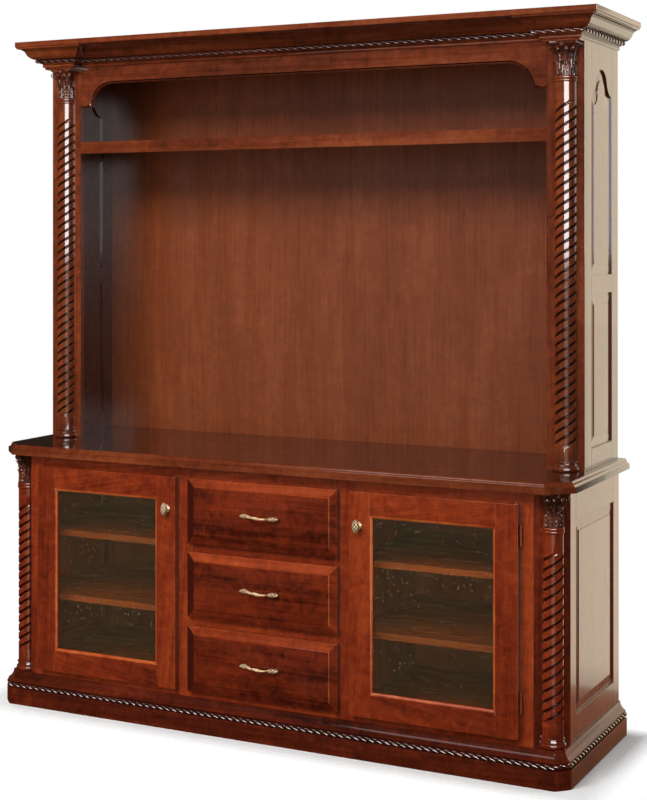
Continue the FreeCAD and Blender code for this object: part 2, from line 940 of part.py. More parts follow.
def door_sticking():
    # Moulded inner edge, mitred at the corners: inner stile, outer stile, bottom rail, top rail
    low_x = door_inner_edge + door_stile_width
    high_x = door_outer_edge - door_stile_width
    low_z = front_bottom_z + door_stile_width
    high_z = front_top_z - door_stile_width
    corners = [(low_x, low_z), (high_x, low_z), (high_x, high_z), (low_x, high_z)]
    middle = ((low_x + high_x) / 2, (low_z + high_z) / 2)
    strips = []
    for i in (3, 1, 0, 2):
        a = corners[i]
        b = corners[(i + 1) % len(corners)]
        along = unit(a, b)
        inward = (-along[1], along[0])
        length = math.hypot(b[0] - a[0], b[1] - a[1])
        begin = (a[0] - along[0] * overrun, a[1] - along[1] * overrun)

        def place(point):
            return at(begin[0] + inward[0] * point[0], front_face - point[1],
                      begin[1] + inward[1] * point[0])

        steps = [
            ((sticking_width, sticking_depth - sticking_lip), -gentle_bow_share),
            ((sticking_width, sticking_depth), 0),
            ((0.0, sticking_depth), 0),
        ]
        section = outline_face((0.0, 0.0), steps, place)
        push = FreeCAD.Vector(along[0], 0, along[1]) * (length + 2 * overrun)
        wedge = [at(p[0], front_face + overrun, p[1]) for p in (a, b, middle)]
        wedge_prism = prism(wedge, turn(0.0, -(sticking_depth + 2 * overrun)))
        strips.append(section.extrude(push).common(wedge_prism).Solids[0])
    return strips


def glass_span():
    edge = door_stile_width + glass_clearance
    return (door_inner_edge + edge, door_outer_edge - edge, front_bottom_z + edge, front_top_z - edge)


def door_glass():
    low_x, high_x, low_z, high_z = glass_span()
    front = front_face - sticking_depth
    return block(low_x, high_x, front - glass_thickness, front, low_z, high_z)


def glass_beads():
    # Plain beads behind the pane, between it and the back of the door
    wide = door_stile_width
    low_x = door_inner_edge + wide
    high_x = door_outer_edge - wide
    low_z = front_bottom_z + wide
    high_z = front_top_z - wide
    front = front_face - sticking_depth - glass_thickness
    thick = glass_bead_width
    return [
        block(low_x, low_x + thick, front_back, front, low_z, high_z),
        block(high_x - thick, high_x, front_back, front, low_z, high_z),
        block(low_x + thick, high_x - thick, front_back, front, low_z, low_z + thick),
        block(low_x + thick, high_x - thick, front_back, front, high_z - thick, high_z),
    ]


def door_knob():
    # Foot, neck and oval head, turned as one about the outward axis, then narrowed across the width
    radius = knob_height / 2
    middle = knob_projection - knob_thickness / 2

    def place(r, outwards):
        return FreeCAD.Vector(0, -outwards, r)

    oval = Part.Ellipse(place(radius, middle), place(0.0, knob_projection), place(0.0, middle))
    meet = -math.acos(knob_neck_radius / radius)
    head = Part.ArcOfEllipse(oval, meet, math.pi / 2).toShape()
    joint = oval.value(meet)
    corners = [
        joint,
        place(knob_neck_radius, knob_foot_thickness),
        place(knob_foot_radius, knob_foot_thickness),
        place(knob_foot_radius, 0.0),
        place(0.0, 0.0),
        place(0.0, knob_projection),
    ]
    straight = Part.makePolygon(corners).Edges
    section = Part.Face(Part.Wire([head] + straight))
    turned = section.revolve(place(0.0, 0.0), place(0.0, 1.0), full_turn_deg)
    narrow = FreeCAD.Matrix()
    narrow.scale(knob_width / knob_height, 1, 1)
    knob = turned.transformGeometry(narrow)
    knob.translate(at(door_inner_edge + knob_edge_distance, front_face, front_top_z - knob_drop))
    return knob


# Drawers, numbered from the bottom

def drawer_low_z(row):
    return front_bottom_z + row * (drawer_front_height + front_gap)


def drawer_front(row):
    # Slab with a square rim, a bevel that rises inwards and a raised field
    half = drawer_half_front
    low_z = drawer_low_z(row)
    high_z = low_z + drawer_front_height
    rim_face = front_face - field_bevel_rise - field_step
    slab = block(-half, half, front_back, rim_face, low_z, high_z)
    wires = []
    for inset, depth in ((0.0, rim_face), (field_bevel_width, front_face - field_step)):
        corners = [
            at(-half + inset, depth, low_z + inset),
            at(half - inset, depth, low_z + inset),
            at(half - inset, depth, high_z - inset),
            at(-half + inset, depth, high_z - inset),
        ]
        wires.append(Part.makePolygon(corners + corners[:1]))
    bevel = Part.makeLoft(wires, True, True)
    inset = field_bevel_width
    field = block(-half + inset, half - inset, rim_face, front_face, low_z + inset, high_z - inset)
    return joined(slab, [bevel, field])


def drawer_box_span(row):
    low_z = drawer_low_z(row) + overlay + drawer_box_foot
    high_z = drawer_low_z(row) + drawer_front_height - overlay - drawer_box_drop
    return low_z, high_z


def drawer_box(row):
    low_z, high_z = drawer_box_span(row)
    half = drawer_half_opening - slide_space
    inner = half - drawer_side_thickness
    front = front_back
    back = front - drawer_box_length
    floor_z = low_z + drawer_bottom_rise
    floor_top = floor_z + drawer_bottom_thickness
    side = block(inner, half, back, front, low_z, high_z)
    thick = drawer_side_thickness
    pieces = [
        side,
        mirrored(side),
        block(-inner, inner, front - thick, front, low_z, high_z),
        block(-inner, inner, back, back + thick, low_z, high_z),
        block(-inner, inner, back + thick, front - thick, floor_z, floor_top),
    ]
    return group(pieces)


def slide_bar(row):
    # Inner members, fixed to the drawer's sides
    low_z, high_z = drawer_box_span(row)
    middle = (low_z + high_z) / 2
    x = drawer_half_opening - slide_space
    bar = block(x, x + slide_bar_thickness, face_back - slide_length, face_back,
                middle - slide_bar_height / 2, middle + slide_bar_height / 2)
    return group([bar, mirrored(bar)])


def slide_channel(row):
    # Outer members, fixed to the partitions, that wrap over and under the inner ones
    low_z, high_z = drawer_box_span(row)
    middle = (low_z + high_z) / 2
    wall = drawer_half_opening
    back = face_back - slide_length
    half = slide_bar_height / 2 + slide_clearance
    outer = half + slide_web
    lip_x = wall - slide_space + slide_bar_thickness / 2
    web = block(wall - slide_web, wall, back, face_back, middle - outer, middle + outer)
    upper = block(lip_x, wall, back, face_back, middle + half, middle + outer)
    lower = block(lip_x, wall, back, face_back, middle - outer, middle - half)
    channel = joined(web, [upper, lower])
    return [channel, mirrored(channel)]


def drawer_pull(row):
    # Bar bowed outwards between two leaf-shaped feet that lie flat on the drawer front
    z = drawer_low_z(row) + drawer_front_height / 2
    half = pull_bar_span / 2
    foot_depth = front_face + pull_foot_thickness / 2
    left = at(-half, foot_depth, z)
    right = at(half, foot_depth, z)
    bowed = Part.Arc(left, at(0.0, front_face + pull_projection - pull_bar_radius, z), right).toShape()
    along = bowed.tangentAt(bowed.FirstParameter)
    disc = Part.Face(Part.Wire(Part.makeCircle(pull_bar_radius, left, along)))
    angle = math.degrees(bowed.LastParameter - bowed.FirstParameter)
    bar = disc.revolve(bowed.Curve.Center, bowed.Curve.Axis, angle)
    feet = []
    for side in (-1, 1):
        tip = (side * pull_length / 2, z)
        heel = (side * (pull_length / 2 - pull_foot_length), z)
        rim = [(heel, pull_foot_bow_share), (tip, pull_foot_bow_share)]
        face = Part.Face(Part.Wire(outline_edges(tip, rim, lambda p: at(p[0], front_face, p[1]))))
        feet.append(face.extrude(turn(0.0, pull_foot_thickness)))
    return joined(bar, feet)


# Write every node

write("base_top", base_top())
write("base_bottom", base_bottom())
write("base_back", base_back())
write("base_partitions", group([base_partition(), mirrored(base_partition())]))
write("base_stretchers", group(base_stretchers()))
write("base_face_frame", group(face_stiles() + face_rails()))
write_pair("base_corner_cant", corner_cant())
write_pair("base_side_frame", base_side_frame())
write_pair("base_side_panel", base_side_panel())
write_pair("base_column", base_column())
write_pair("base_capital", base_capital())
plinth_blocks = [plinth_corner_block(), mirrored(plinth_corner_block()), plinth_back_rail()]
write("plinth_frame", group(plinth_frame() + plinth_blocks))
write("plinth_rope", plinth_rope())
right_shelves = [base_shelf(z) for z in shelf_tops]
write("base_shelves", group(right_shelves + [mirrored(shelf) for shelf in right_shelves]))
right_clips = [clip for z in shelf_tops for clip in shelf_clips(z)]
write("shelf_clips", group(right_clips + [mirrored(clip) for clip in right_clips]))
write_pair("hutch_side_frame", hutch_side_frame())
write_pair("hutch_side_panels", hutch_side_panels())
write("hutch_back", hutch_back())
write_pair("hutch_stile", hutch_stile())
write("hutch_shelf", hutch_shelf())
write("hutch_valance", hutch_valance())
write("hutch_top", hutch_top())
write_pair("hutch_column", hutch_column())
write_pair("hutch_capital", hutch_capital())
write("crown_blocks", group([crown_block(), mirrored(crown_block())]))
write("crown_moulding", crown_moulding())
write("crown_rope", crown_rope())
write("crown_board", crown_board())
hinge_leaves = cabinet_hinge_leaves()
write("cabinet_hinge_leaves", group(hinge_leaves + [mirrored(leaf) for leaf in hinge_leaves]))
for name, shape in (("frame", door_frame()), ("glass", door_glass()), ("knob", door_knob()),
                    ("hinge_leaves", door_hinge_leaves())):
    write("door_right_" + name, shape)
    write("door_left_" + name, mirrored(shape))
channels = []
for row, place in enumerate(("bottom", "middle", "top")):
    write("drawer_" + place + "_front", drawer_front(row))
    write("drawer_" + place + "_box", drawer_box(row))
    write("drawer_" + place + "_slides", slide_bar(row))
    write("drawer_" + place + "_pull", drawer_pull(row))
    channels += slide_channel(row)
write("drawer_slide_channels", group(channels))
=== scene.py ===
"""Looks of the entertainment center: glossy cherry boards, rope-turned half columns with carved
capitals, rope beads, seeded glass and antique brass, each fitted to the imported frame."""
import json
import math
import random
from collections import Counter

import bmesh
import bpy
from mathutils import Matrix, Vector

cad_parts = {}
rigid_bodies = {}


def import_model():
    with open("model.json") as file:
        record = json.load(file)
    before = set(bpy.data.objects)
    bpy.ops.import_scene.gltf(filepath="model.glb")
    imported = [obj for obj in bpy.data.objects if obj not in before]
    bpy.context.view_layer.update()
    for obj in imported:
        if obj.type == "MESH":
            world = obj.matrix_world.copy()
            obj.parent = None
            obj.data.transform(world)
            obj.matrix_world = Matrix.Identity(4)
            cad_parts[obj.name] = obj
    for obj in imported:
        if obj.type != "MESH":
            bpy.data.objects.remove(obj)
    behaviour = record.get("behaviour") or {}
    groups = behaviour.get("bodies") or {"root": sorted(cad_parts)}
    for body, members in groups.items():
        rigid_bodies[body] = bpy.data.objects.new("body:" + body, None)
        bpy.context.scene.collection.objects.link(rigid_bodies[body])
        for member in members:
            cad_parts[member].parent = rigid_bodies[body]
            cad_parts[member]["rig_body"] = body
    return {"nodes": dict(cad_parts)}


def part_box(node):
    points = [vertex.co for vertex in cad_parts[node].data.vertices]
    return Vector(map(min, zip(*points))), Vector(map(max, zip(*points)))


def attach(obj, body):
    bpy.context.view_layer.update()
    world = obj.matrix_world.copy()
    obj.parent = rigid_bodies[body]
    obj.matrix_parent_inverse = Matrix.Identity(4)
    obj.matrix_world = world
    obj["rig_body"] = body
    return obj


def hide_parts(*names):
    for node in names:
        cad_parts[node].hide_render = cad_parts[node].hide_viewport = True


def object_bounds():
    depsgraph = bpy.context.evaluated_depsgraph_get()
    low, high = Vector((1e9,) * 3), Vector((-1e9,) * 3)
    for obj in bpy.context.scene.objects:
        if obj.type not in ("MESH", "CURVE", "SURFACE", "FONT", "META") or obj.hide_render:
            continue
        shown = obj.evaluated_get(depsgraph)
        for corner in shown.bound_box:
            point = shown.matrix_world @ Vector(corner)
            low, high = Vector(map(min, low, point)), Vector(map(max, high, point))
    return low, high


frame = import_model()
cad_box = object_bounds()

UP = Vector((0, 0, 1))
RIGHT = Vector((1, 0, 0))
dice = random.Random(471)


def new_object(name, data):
    """An object of the scene that holds this mesh, lamp or camera."""
    made = bpy.data.objects.new(name, data)
    bpy.context.scene.collection.objects.link(made)
    return made


# The camera that took the photograph

PHOTO_HEIGHT = 800
FOCAL_PIXELS = 1602.2
HORIZON_ROW = 235.2
CAMERA_PLACE = (2.3854, -4.58985, 1.5606)
CAMERA_TURN = 0.4656
SENSOR_SIZE = 36.0


def camera():
    """The camera of the photograph: level, turned to the left, with the horizon above its middle."""
    data = bpy.data.cameras.new("camera")
    data.sensor_width = SENSOR_SIZE
    data.lens = FOCAL_PIXELS * SENSOR_SIZE / PHOTO_HEIGHT
    data.shift_y = (HORIZON_ROW - PHOTO_HEIGHT / 2) / PHOTO_HEIGHT
    eye = new_object("camera", data)
    eye.location = CAMERA_PLACE
    eye.rotation_euler = (math.pi / 2, 0, CAMERA_TURN)
    bpy.context.scene.camera = eye


camera()
bpy.context.scene.view_settings.view_transform = "Standard"

# Shader trees


def linear(red, green, blue):
    """A colour given as it shows on screen, 0 to 255, as the shader's own linear values."""
    shares = [c / 255 for c in (red, green, blue)]
    values = [s / 12.92 if s <= 0.04045 else ((s + 0.055) / 1.055) ** 2.4 for s in shares]
    return (*values, 1.0)


class Nodes:
    """A shader tree whose nodes are added one call at a time."""

    def __init__(self, tree):
        self.tree = tree
        tree.nodes.clear()

    def feed(self, target, value):
        """Sets a socket to a plain value, or links it where the value is another socket."""
        if isinstance(value, bpy.types.NodeSocket):
            self.tree.links.new(value, target)
        else:
            target.default_value = value

    def add(self, kind, *values, settings=None, **named):
        """A node with these settings. The values go to its first sockets and to the named ones."""
        node = self.tree.nodes.new(kind)
        for key, value in (settings or {}).items():
            setattr(node, key, value)
        for target, value in zip(node.inputs, values):
            self.feed(target, value)
        for name, value in named.items():
            self.feed(node.inputs[name.replace("_", " ")], value)
        return node

    def maths(self, operation, *values):
        return self.add("ShaderNodeMath", *values, settings={"operation": operation}).outputs[0]

    def span(self, value, low, high, start=0.0, end=1.0):
        """The value taken from low..high to start..end, held at both ends."""
        return self.add("ShaderNodeMapRange", value, low, high, start, end).outputs[0]

    def apart(self, vector):
        """The X, Y and Z of a vector."""
        return self.add("ShaderNodeSeparateXYZ", vector).outputs

    def mix(self, factor, first, second, blend="MIX"):
        """A colour between two others."""
        node = self.add("ShaderNodeMix", factor, settings={"data_type": "RGBA", "blend_type": blend})
        self.feed(node.inputs[6], first)
        self.feed(node.inputs[7], second)
        return node.outputs[2]

    def between(self, factor, first, second):
        """A number between two others."""
        node = self.add("ShaderNodeMix", factor, settings={"data_type": "FLOAT"})
        self.feed(node.inputs[2], first)
        self.feed(node.inputs[3], second)
        return node.outputs[0]

    def shared(self, factor, first, second):
        """A shader between two others."""
        return self.add("ShaderNodeMixShader", factor, first, second).outputs[0]


class Finish(Nodes):
    """A material, with the places and the patterns that its colours follow."""

    def __init__(self, name):
        self.material = bpy.data.materials.new(name)
        self.material.use_nodes = True
        super().__init__(self.material.node_tree)

    def attribute(self, name, output="Fac"):
        """What a mesh holds for its corners: "grain", the place with X along the grain; "board_tone", how
        light the board is; a face value for how much lighter a face is, from wear on some faces and
        painted light and painted shade on others; "hollow", how deep in the carving, where it is darkened
        as glazing and painted shade."""
        return self.add("ShaderNodeAttribute", settings={"attribute_name": name}).outputs[output]

    def place(self, along="x"):
        """The place on a node of the frame, turned so that X runs along the named axis."""
        source = self.add("ShaderNodeTexCoord").outputs["Object"]
        if along == "x":
            return source
        x, y, z = self.apart(source)
        return self.add("ShaderNodeCombineXYZ", z, x, y).outputs[0]

    def scaled(self, vector, scale):
        """The place with its own scale along each axis, per metre."""
        return self.add("ShaderNodeMapping", Vector=vector, Scale=scale).outputs[0]

    def noise(self, vector, scale, detail=2, roughness=0.5, distortion=0.0):
        """Soft patches round 0.5."""
        return self.add(
            "ShaderNodeTexNoise", Vector=self.scaled(vector, scale), Scale=1.0,
            Detail=detail, Roughness=roughness, Distortion=distortion,
        ).outputs["Fac"]

    def cells(self, vector, scale):
        """The distance to the nearest of many scattered points, in cells."""
        vector = self.scaled(vector, scale)
        return self.add("ShaderNodeTexVoronoi", Vector=vector, Scale=1.0).outputs["Distance"]

    def ramp(self, factor, stops):
        """The colour at the factor's place between these stops."""
        node = self.add("ShaderNodeValToRGB", factor)
        elements = node.color_ramp.elements
        while len(elements) < len(stops):
            elements.new(0.5)
        for element, (position, colour) in zip(elements, stops):
            element.position = position
            element.color = colour
        return node.outputs[0]

    def bump(self, height, depth, strength, **under):
        """A normal from a height between 0 and 1, with its depth in metres."""
        node = self.add("ShaderNodeBump", Height=height, Distance=depth, Strength=strength, **under)
        return node.outputs[0]

    def principled(self, **values):
        """The Principled shader with these socket values."""
        return self.add("ShaderNodeBsdfPrincipled", **values).outputs[0]

    def done(self, shader):
        """The material, with the shader on its output."""
        self.add("ShaderNodeOutputMaterial", shader)
        return self.material


# Materials

BOARD_TONES = (linear(62, 18, 8), linear(124, 43, 17), linear(164, 67, 28), linear(200, 104, 50))
HUTCH_TONES = (linear(51, 20, 10), linear(103, 44, 21), linear(139, 68, 35), linear(171, 99, 55))
CAPITAL_TONES = (linear(54, 23, 14), linear(106, 50, 31), linear(150, 80, 52))
PLINTH_TONES = (linear(40, 13, 7), linear(92, 32, 15), linear(140, 56, 26))
ROPE_TONES = (linear(34, 13, 8), linear(74, 28, 15), linear(112, 46, 24))
INSIDE_TONES = (linear(106, 51, 27), linear(124, 62, 34), linear(142, 75, 43))
TONE_STOPS = (0.31, 0.50, 0.67, 0.81)
# Painted shade with dark glazing: the colour that occluded and hollow places of the wood are darkened
# towards.
GLAZE_AND_SHADE = linear(12, 5, 4)
GLAZE_AND_SHADE_REACH = 0.006
GLAZE_AND_SHADE_STRENGTH = 0.85

FIGURE_SCALE = (1.3, 8.0, 8.0)
STREAK_SCALE = (3.5, 80.0, 80.0)
CURL_SCALE = (30.0, 25.0, 25.0)
FIBRE_SCALE = (16.0, 620.0, 620.0)
FIGURE_SHARE = 0.42
STREAK_SHARE = 0.22
CURL_SHARE = 0.36
BOARD_TONE_SHARE = 0.06

BRASS_STOPS = ((0.35, linear(226, 176, 122)), (0.6, linear(252, 220, 178)))
BRASS_HOLLOW = linear(50, 27, 9)
BRONZE_STOPS = ((0.35, linear(112, 44, 20)), (0.62, linear(142, 62, 30)))
ZINC_STOPS = ((0.3, linear(150, 152, 155)), (0.7, linear(196, 198, 200)))

GLASS_TINT = linear(210, 199, 166)
# Painted glints on the bubbles: a paler tint and a white speck mixed in.
SEED_GLINT_TINT = linear(240, 236, 214)
SEED_GLINT_WHITE = linear(236, 232, 214)
SEED_SCALE = (92.0, 92.0, 44.0)
SEED_GLINT_SHARE = 0.28


def cherry(name, tones, along="grain", coat=1.0, coat_roughness=0.065, coat_ior=1.65):
    """Stained cherry under clear lacquer. Boards with a mesh of their own also have a tone of their own,
    and painted shade with dark glazing in the recesses, darkened where an occlusion mask and the mesh's
    hollow values say."""
    finish = Finish(name)
    own_mesh = along == "grain"
    spot = finish.attribute("grain", "Vector") if own_mesh else finish.place(along)
    figure = finish.noise(spot, FIGURE_SCALE, detail=3, distortion=0.9)
    streak = finish.noise(spot, STREAK_SCALE, detail=3, roughness=0.6)
    curl = finish.noise(spot, CURL_SCALE, detail=4, roughness=0.65, distortion=0.8)
    fibre = finish.noise(spot, FIBRE_SCALE, detail=2, roughness=0.7)
    tone = finish.maths("MULTIPLY", figure, FIGURE_SHARE)
    tone = finish.maths("MULTIPLY_ADD", streak, STREAK_SHARE, tone)
    tone = finish.maths("MULTIPLY_ADD", curl, CURL_SHARE, tone)
    if own_mesh:
        tone = finish.maths("MULTIPLY_ADD", finish.attribute("board_tone"), BOARD_TONE_SHARE, tone)
        # The face value lightens worn faces, and paints light and shade on faces according to the way
        # they lean.
        tone = finish.maths("MULTIPLY_ADD", finish.attribute("wear_and_painted_light"), BOARD_TONE_SHARE, tone)
    colour = finish.ramp(tone, list(zip(TONE_STOPS, tones)))
    fine = finish.span(fibre, 0.3, 0.7, 0.84, 1.10)
    colour = finish.mix(1.0, colour, fine, blend="MULTIPLY")
    if own_mesh:
        # Painted shade with dark glazing: places the occlusion mask finds close to other surfaces, and
        # the hollow values, are darkened.
        settings = {"samples": 4, "only_local": True}
        recess = finish.add("ShaderNodeAmbientOcclusion", settings=settings, Distance=GLAZE_AND_SHADE_REACH)
        glaze_and_shade = finish.span(recess.outputs["AO"], 0.35, 0.85, GLAZE_AND_SHADE_STRENGTH, 0.0)
        glaze_and_shade = finish.maths("MAXIMUM", glaze_and_shade, finish.attribute("hollow"))
        colour = finish.mix(glaze_and_shade, colour, GLAZE_AND_SHADE)
    ridges = finish.maths("MULTIPLY_ADD", streak, 2.0, fibre)
    shader = finish.principled(
        Base_Color=colour,
        Roughness=finish.span(streak, 0.3, 0.7, 0.24, 0.34),
        Specular_IOR_Level=0.08,
        Coat_Weight=coat,
        Coat_Roughness=coat_roughness,
        Coat_IOR=coat_ior,
        Normal=finish.bump(ridges, 0.0002, 0.08),
    )
    return finish.done(shader)


def brass():
    """Pale antique brass, darker in the hollows of the casting."""
    finish = Finish("antique_brass_finish")
    spot = finish.place()
    patches = finish.noise(spot, (90.0, 90.0, 90.0), detail=3)
    pits = finish.noise(spot, (700.0, 700.0, 700.0))
    colour = finish.ramp(patches, BRASS_STOPS)
    shader = finish.principled(
        Base_Color=finish.mix(finish.attribute("hollow"), colour, BRASS_HOLLOW),
        Metallic=0.25,
        Specular_IOR_Level=0.35,
        Roughness=finish.span(patches, 0.3, 0.7, 0.26, 0.36),
        Normal=finish.bump(pits, 0.0001, 0.3),
    )
    return finish.done(shader)


def metal(name, scale, detail, stops, metallic, smoothest, roughest):
    """A plain metal with patches or lines of two tones."""
    finish = Finish(name)
    patches = finish.noise(finish.place(), scale, detail=detail)
    shader = finish.principled(
        Base_Color=finish.ramp(patches, stops),
        Metallic=metallic,
        Roughness=finish.span(patches, 0.3, 0.7, smoothest, roughest),
    )
    return finish.done(shader)


def seeded_glass():
    """Old-style glass with small bubbles and a slow ripple. Each bubble carries a painted glint: a paler
    tint and a white diffuse speck. Lamps shine through it.
    """
    finish = Finish("seeded_glass_finish")
    spot = finish.place()
    bubbles = finish.span(finish.cells(spot, SEED_SCALE), 0.05, 0.13, 1.0, 0.0)
    ripple = finish.noise(spot, (22.0, 22.0, 16.0), detail=2)
    slow = finish.bump(ripple, 0.0012, 0.35)
    pane = finish.principled(
        Base_Color=finish.mix(bubbles, GLASS_TINT, SEED_GLINT_TINT),
        Roughness=0.09,
        IOR=1.45,
        Transmission_Weight=1.0,
        Normal=finish.bump(bubbles, 0.0009, 0.9, Normal=slow),
    )
    painted_glints = finish.add("ShaderNodeBsdfDiffuse", SEED_GLINT_WHITE).outputs[0]
    speckled = finish.shared(finish.maths("MULTIPLY", bubbles, SEED_GLINT_SHARE), pane, painted_glints)
    to_lamp = finish.add("ShaderNodeLightPath").outputs["Is Shadow Ray"]
    clear = finish.add("ShaderNodeBsdfTransparent", GLASS_TINT).outputs[0]
    return finish.done(finish.shared(to_lamp, speckled, clear))


boards_finish = cherry("cherry_boards", BOARD_TONES)
hutch_finish = cherry("cherry_hutch", HUTCH_TONES)
plinth_finish = cherry("cherry_plinth", PLINTH_TONES, coat=0.5)
capital_finish = cherry("cherry_capitals", CAPITAL_TONES, coat=0.6, coat_roughness=0.14)
rope_finish = cherry("cherry_ropes", ROPE_TONES, coat_ior=2.1)
inside_upright = cherry("cherry_inside_upright", INSIDE_TONES, along="z", coat=0.4, coat_roughness=0.22)
inside_level = cherry("cherry_inside_level", INSIDE_TONES, along="x", coat=0.4, coat_roughness=0.22)
brass_finish = brass()
hinge_finish = metal("dark_bronze_finish", (120.0, 120.0, 60.0), 3, BRONZE_STOPS, 0.3, 0.28, 0.42)
zinc_finish = metal("zinc_finish", (400.0, 12.0, 400.0), 2, ZINC_STOPS, 1.0, 0.3, 0.45)
glass_finish = seeded_glass()

# Meshes

GRAIN_SPREAD = 40
MERGE_DISTANCE = 0.00002


def full_turn(count):
    """So many angles, evenly round a circle."""
    return [2 * math.pi * i / count for i in range(count)]


def half_turn(steps):
    """The angles of a half circle in so many steps, both ends included."""
    return [math.pi * i / steps for i in range(steps + 1)]


def smooth_step(value, low, high):
    """From 0 below the low value to 1 above the high one, easing in and out."""
    share = min(max((value - low) / (high - low), 0.0), 1.0)
    return share * share * (3 - 2 * share)


def add_grain(bm, corners, along, tone):
    """Writes each corner's place with X along the grain and its board's tone. Both have a random
    part, so no two boards match."""
    offset = Vector([dice.uniform(0, GRAIN_SPREAD) for _ in range(3)])
    tone += dice.uniform(-1, 1)
    tones = bm.verts.layers.float.get("board_tone") or bm.verts.layers.float.new("board_tone")
    layer = bm.verts.layers.float_vector.get("grain") or bm.verts.layers.float_vector.new("grain")
    across = (UP if abs(along.z) < 0.9 else RIGHT).cross(along).normalized()
    third = along.cross(across)
    for corner in corners:
        place = Vector((corner.co.dot(along), corner.co.dot(across), corner.co.dot(third)))
        corner[layer] = place + offset
        corner[tones] = tone


def place_piece(name, bm, node, finish, smooth):
    """Makes the finished mesh an object that rides in its node's place."""
    mesh = bpy.data.meshes.new(name)
    bm.to_mesh(mesh)
    bm.free()
    mesh.polygons.foreach_set("use_smooth", [True] * len(mesh.polygons))
    mesh.set_sharp_from_angle(angle=math.radians(smooth))
    mesh.materials.append(finish)
    piece = new_object(name, mesh)
    cad = frame["nodes"][node]
    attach(piece, cad["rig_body"])
    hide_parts(node)


class Skin:
    """A closed mesh put together from lofts through rings of points."""

    def __init__(self):
        self.bm = bmesh.new()
        self.bm.verts.layers.float_vector.new("grain")
        self.bm.verts.layers.float.new("board_tone")
        self.hollow = self.bm.verts.layers.float.new("hollow")

    def loft(self, rings, along=UP, hollows=None, tone=0.0):
        """A closed body through rings of as many points each, capped at both ends."""
        made = [[self.bm.verts.new(p) for p in ring] for ring in rings]
        for row, ring in enumerate(made):
            for column, corner in enumerate(ring):
                corner[self.hollow] = hollows[row][column] if hollows else 0.0
        for low, high in zip(made, made[1:]):
            for i in range(len(low)):
                j = (i + 1) % len(low)
                self.bm.faces.new((low[i], low[j], high[j], high[i]))
        self.bm.faces.new(list(reversed(made[0])))
        self.bm.faces.new(made[-1])
        add_grain(self.bm, [corner for ring in made for corner in ring], along, tone)

    def finish(self, name, node, finish, smooth=38):
        bmesh.ops.remove_doubles(self.bm, verts=self.bm.verts, dist=MERGE_DISTANCE)
        bmesh.ops.dissolve_degenerate(self.bm, edges=self.bm.edges, dist=MERGE_DISTANCE / 2)
        bmesh.ops.recalc_face_normals(self.bm, faces=self.bm.faces)
        place_piece(name, self.bm, node, finish, smooth)


# Boards

PLACE_DIGITS = 6
FLAT_ANGLE = math.radians(0.6)
SHARP_ANGLE = math.radians(40)
EDGE_ROUND = 0.0007
FRONT_ROUND = 0.0006
FINE_ROUND = 0.0003
CROWN_BOARD_ROUND = 0.0022


def solids_of(node):
    """The closed solids of a CAD node, each as its faces, which follow each other in its mesh."""
    mesh = frame["nodes"][node].data
    corners = [tuple(round(c, PLACE_DIGITS) for c in v.co) for v in mesh.vertices]
    solids, faces, open_edges = [], [], Counter()
    for polygon in mesh.polygons:
        face = [corners[i] for i in polygon.vertices]
        faces.append(face)
        for start, end in zip(face, face[1:] + face[:1]):
            if open_edges[end, start]:
                open_edges[end, start] -= 1
            elif start != end:
                open_edges[start, end] += 1
        if not +open_edges:
            solids.append(faces)
            faces = []
            open_edges.clear()
    return solids


def longest_edge(bm):
    """The direction of the longest straight edge, which is the way a board's grain runs."""
    edge = max(bm.edges, key=lambda e: e.calc_length())
    way = (edge.verts[1].co - edge.verts[0].co).normalized()
    return way if max(way, key=abs) > 0 else -way


def bevel(bm, edges, width, segments):
    """Rounds these edges, or cuts them flat where there is one segment."""
    return bmesh.ops.bevel(
        bm, geom=edges, offset=width, segments=segments, profile=0.5,
        affect="EDGES", clamp_overlap=True,
    )


def board(faces, grain, round_edges, mould, tone, wear_and_painted_light):
    """One solid of the frame as a clean board: flat faces joined, edges eased, grain laid."""
    bm = bmesh.new()
    found = {}
    for face in faces:
        ring = []
        for corner in face:
            if corner not in found:
                found[corner] = bm.verts.new(corner)
            if found[corner] not in ring:
                ring.append(found[corner])
        if len(ring) > 2:
            bm.faces.new(ring)
    bmesh.ops.dissolve_limit(bm, angle_limit=FLAT_ANGLE, verts=bm.verts, edges=bm.edges)
    way = grain or longest_edge(bm)
    if mould:
        mould(bm)
    if round_edges:
        sharp = [e for e in bm.edges if len(e.link_faces) == 2 and e.calc_face_angle() > SHARP_ANGLE]
        bevel(bm, sharp, round_edges, 2)
    add_grain(bm, bm.verts, way, tone)
    if wear_and_painted_light:
        layer = bm.loops.layers.float.new("wear_and_painted_light")
        for face in bm.faces:
            value = wear_and_painted_light(face)
            for corner in face.loops:
                corner[layer] = value
    return bm


def dress(node, finish, grain=None, round_edges=EDGE_ROUND, smooth=14, mould=None, tone=0.0, wear_and_painted_light=None):
    """The boards of a CAD node with eased edges and the grain of each laid its own way."""
    together = bmesh.new()
    for faces in solids_of(node):
        part = board(faces, grain, round_edges, mould, tone, wear_and_painted_light)
        mesh = bpy.data.meshes.new("board")
        part.to_mesh(mesh)
        part.free()
        together.from_mesh(mesh)
        bpy.data.meshes.remove(mesh)
    place_piece(f"{node}_wood", together, node, finish, smooth)


# Staining, wear, painted light and painted shade, and mouldings. A part of a face's normal says which way
# the face leans.

LEANING = 0.1
MOULDED = 0.2
FACING = 0.5
SQUARE = 0.97
# Drawer fields: the left bevel darker as end grain and painted shade, the right and upper bevels painted
# lighter, and the right chamfer a painted highlight.
LEFT_BEVEL_END_GRAIN_AND_SHADE = -2.5
RIGHT_BEVEL_PAINTED_LIGHT = 0.6
UPPER_BEVEL_PAINTED_LIGHT = 2.8
# Lighter edges: wear on drawer and door edges, painted light on the front bevels of side panels.
EDGE_WEAR_AND_PAINTED_LIGHT = 3.6
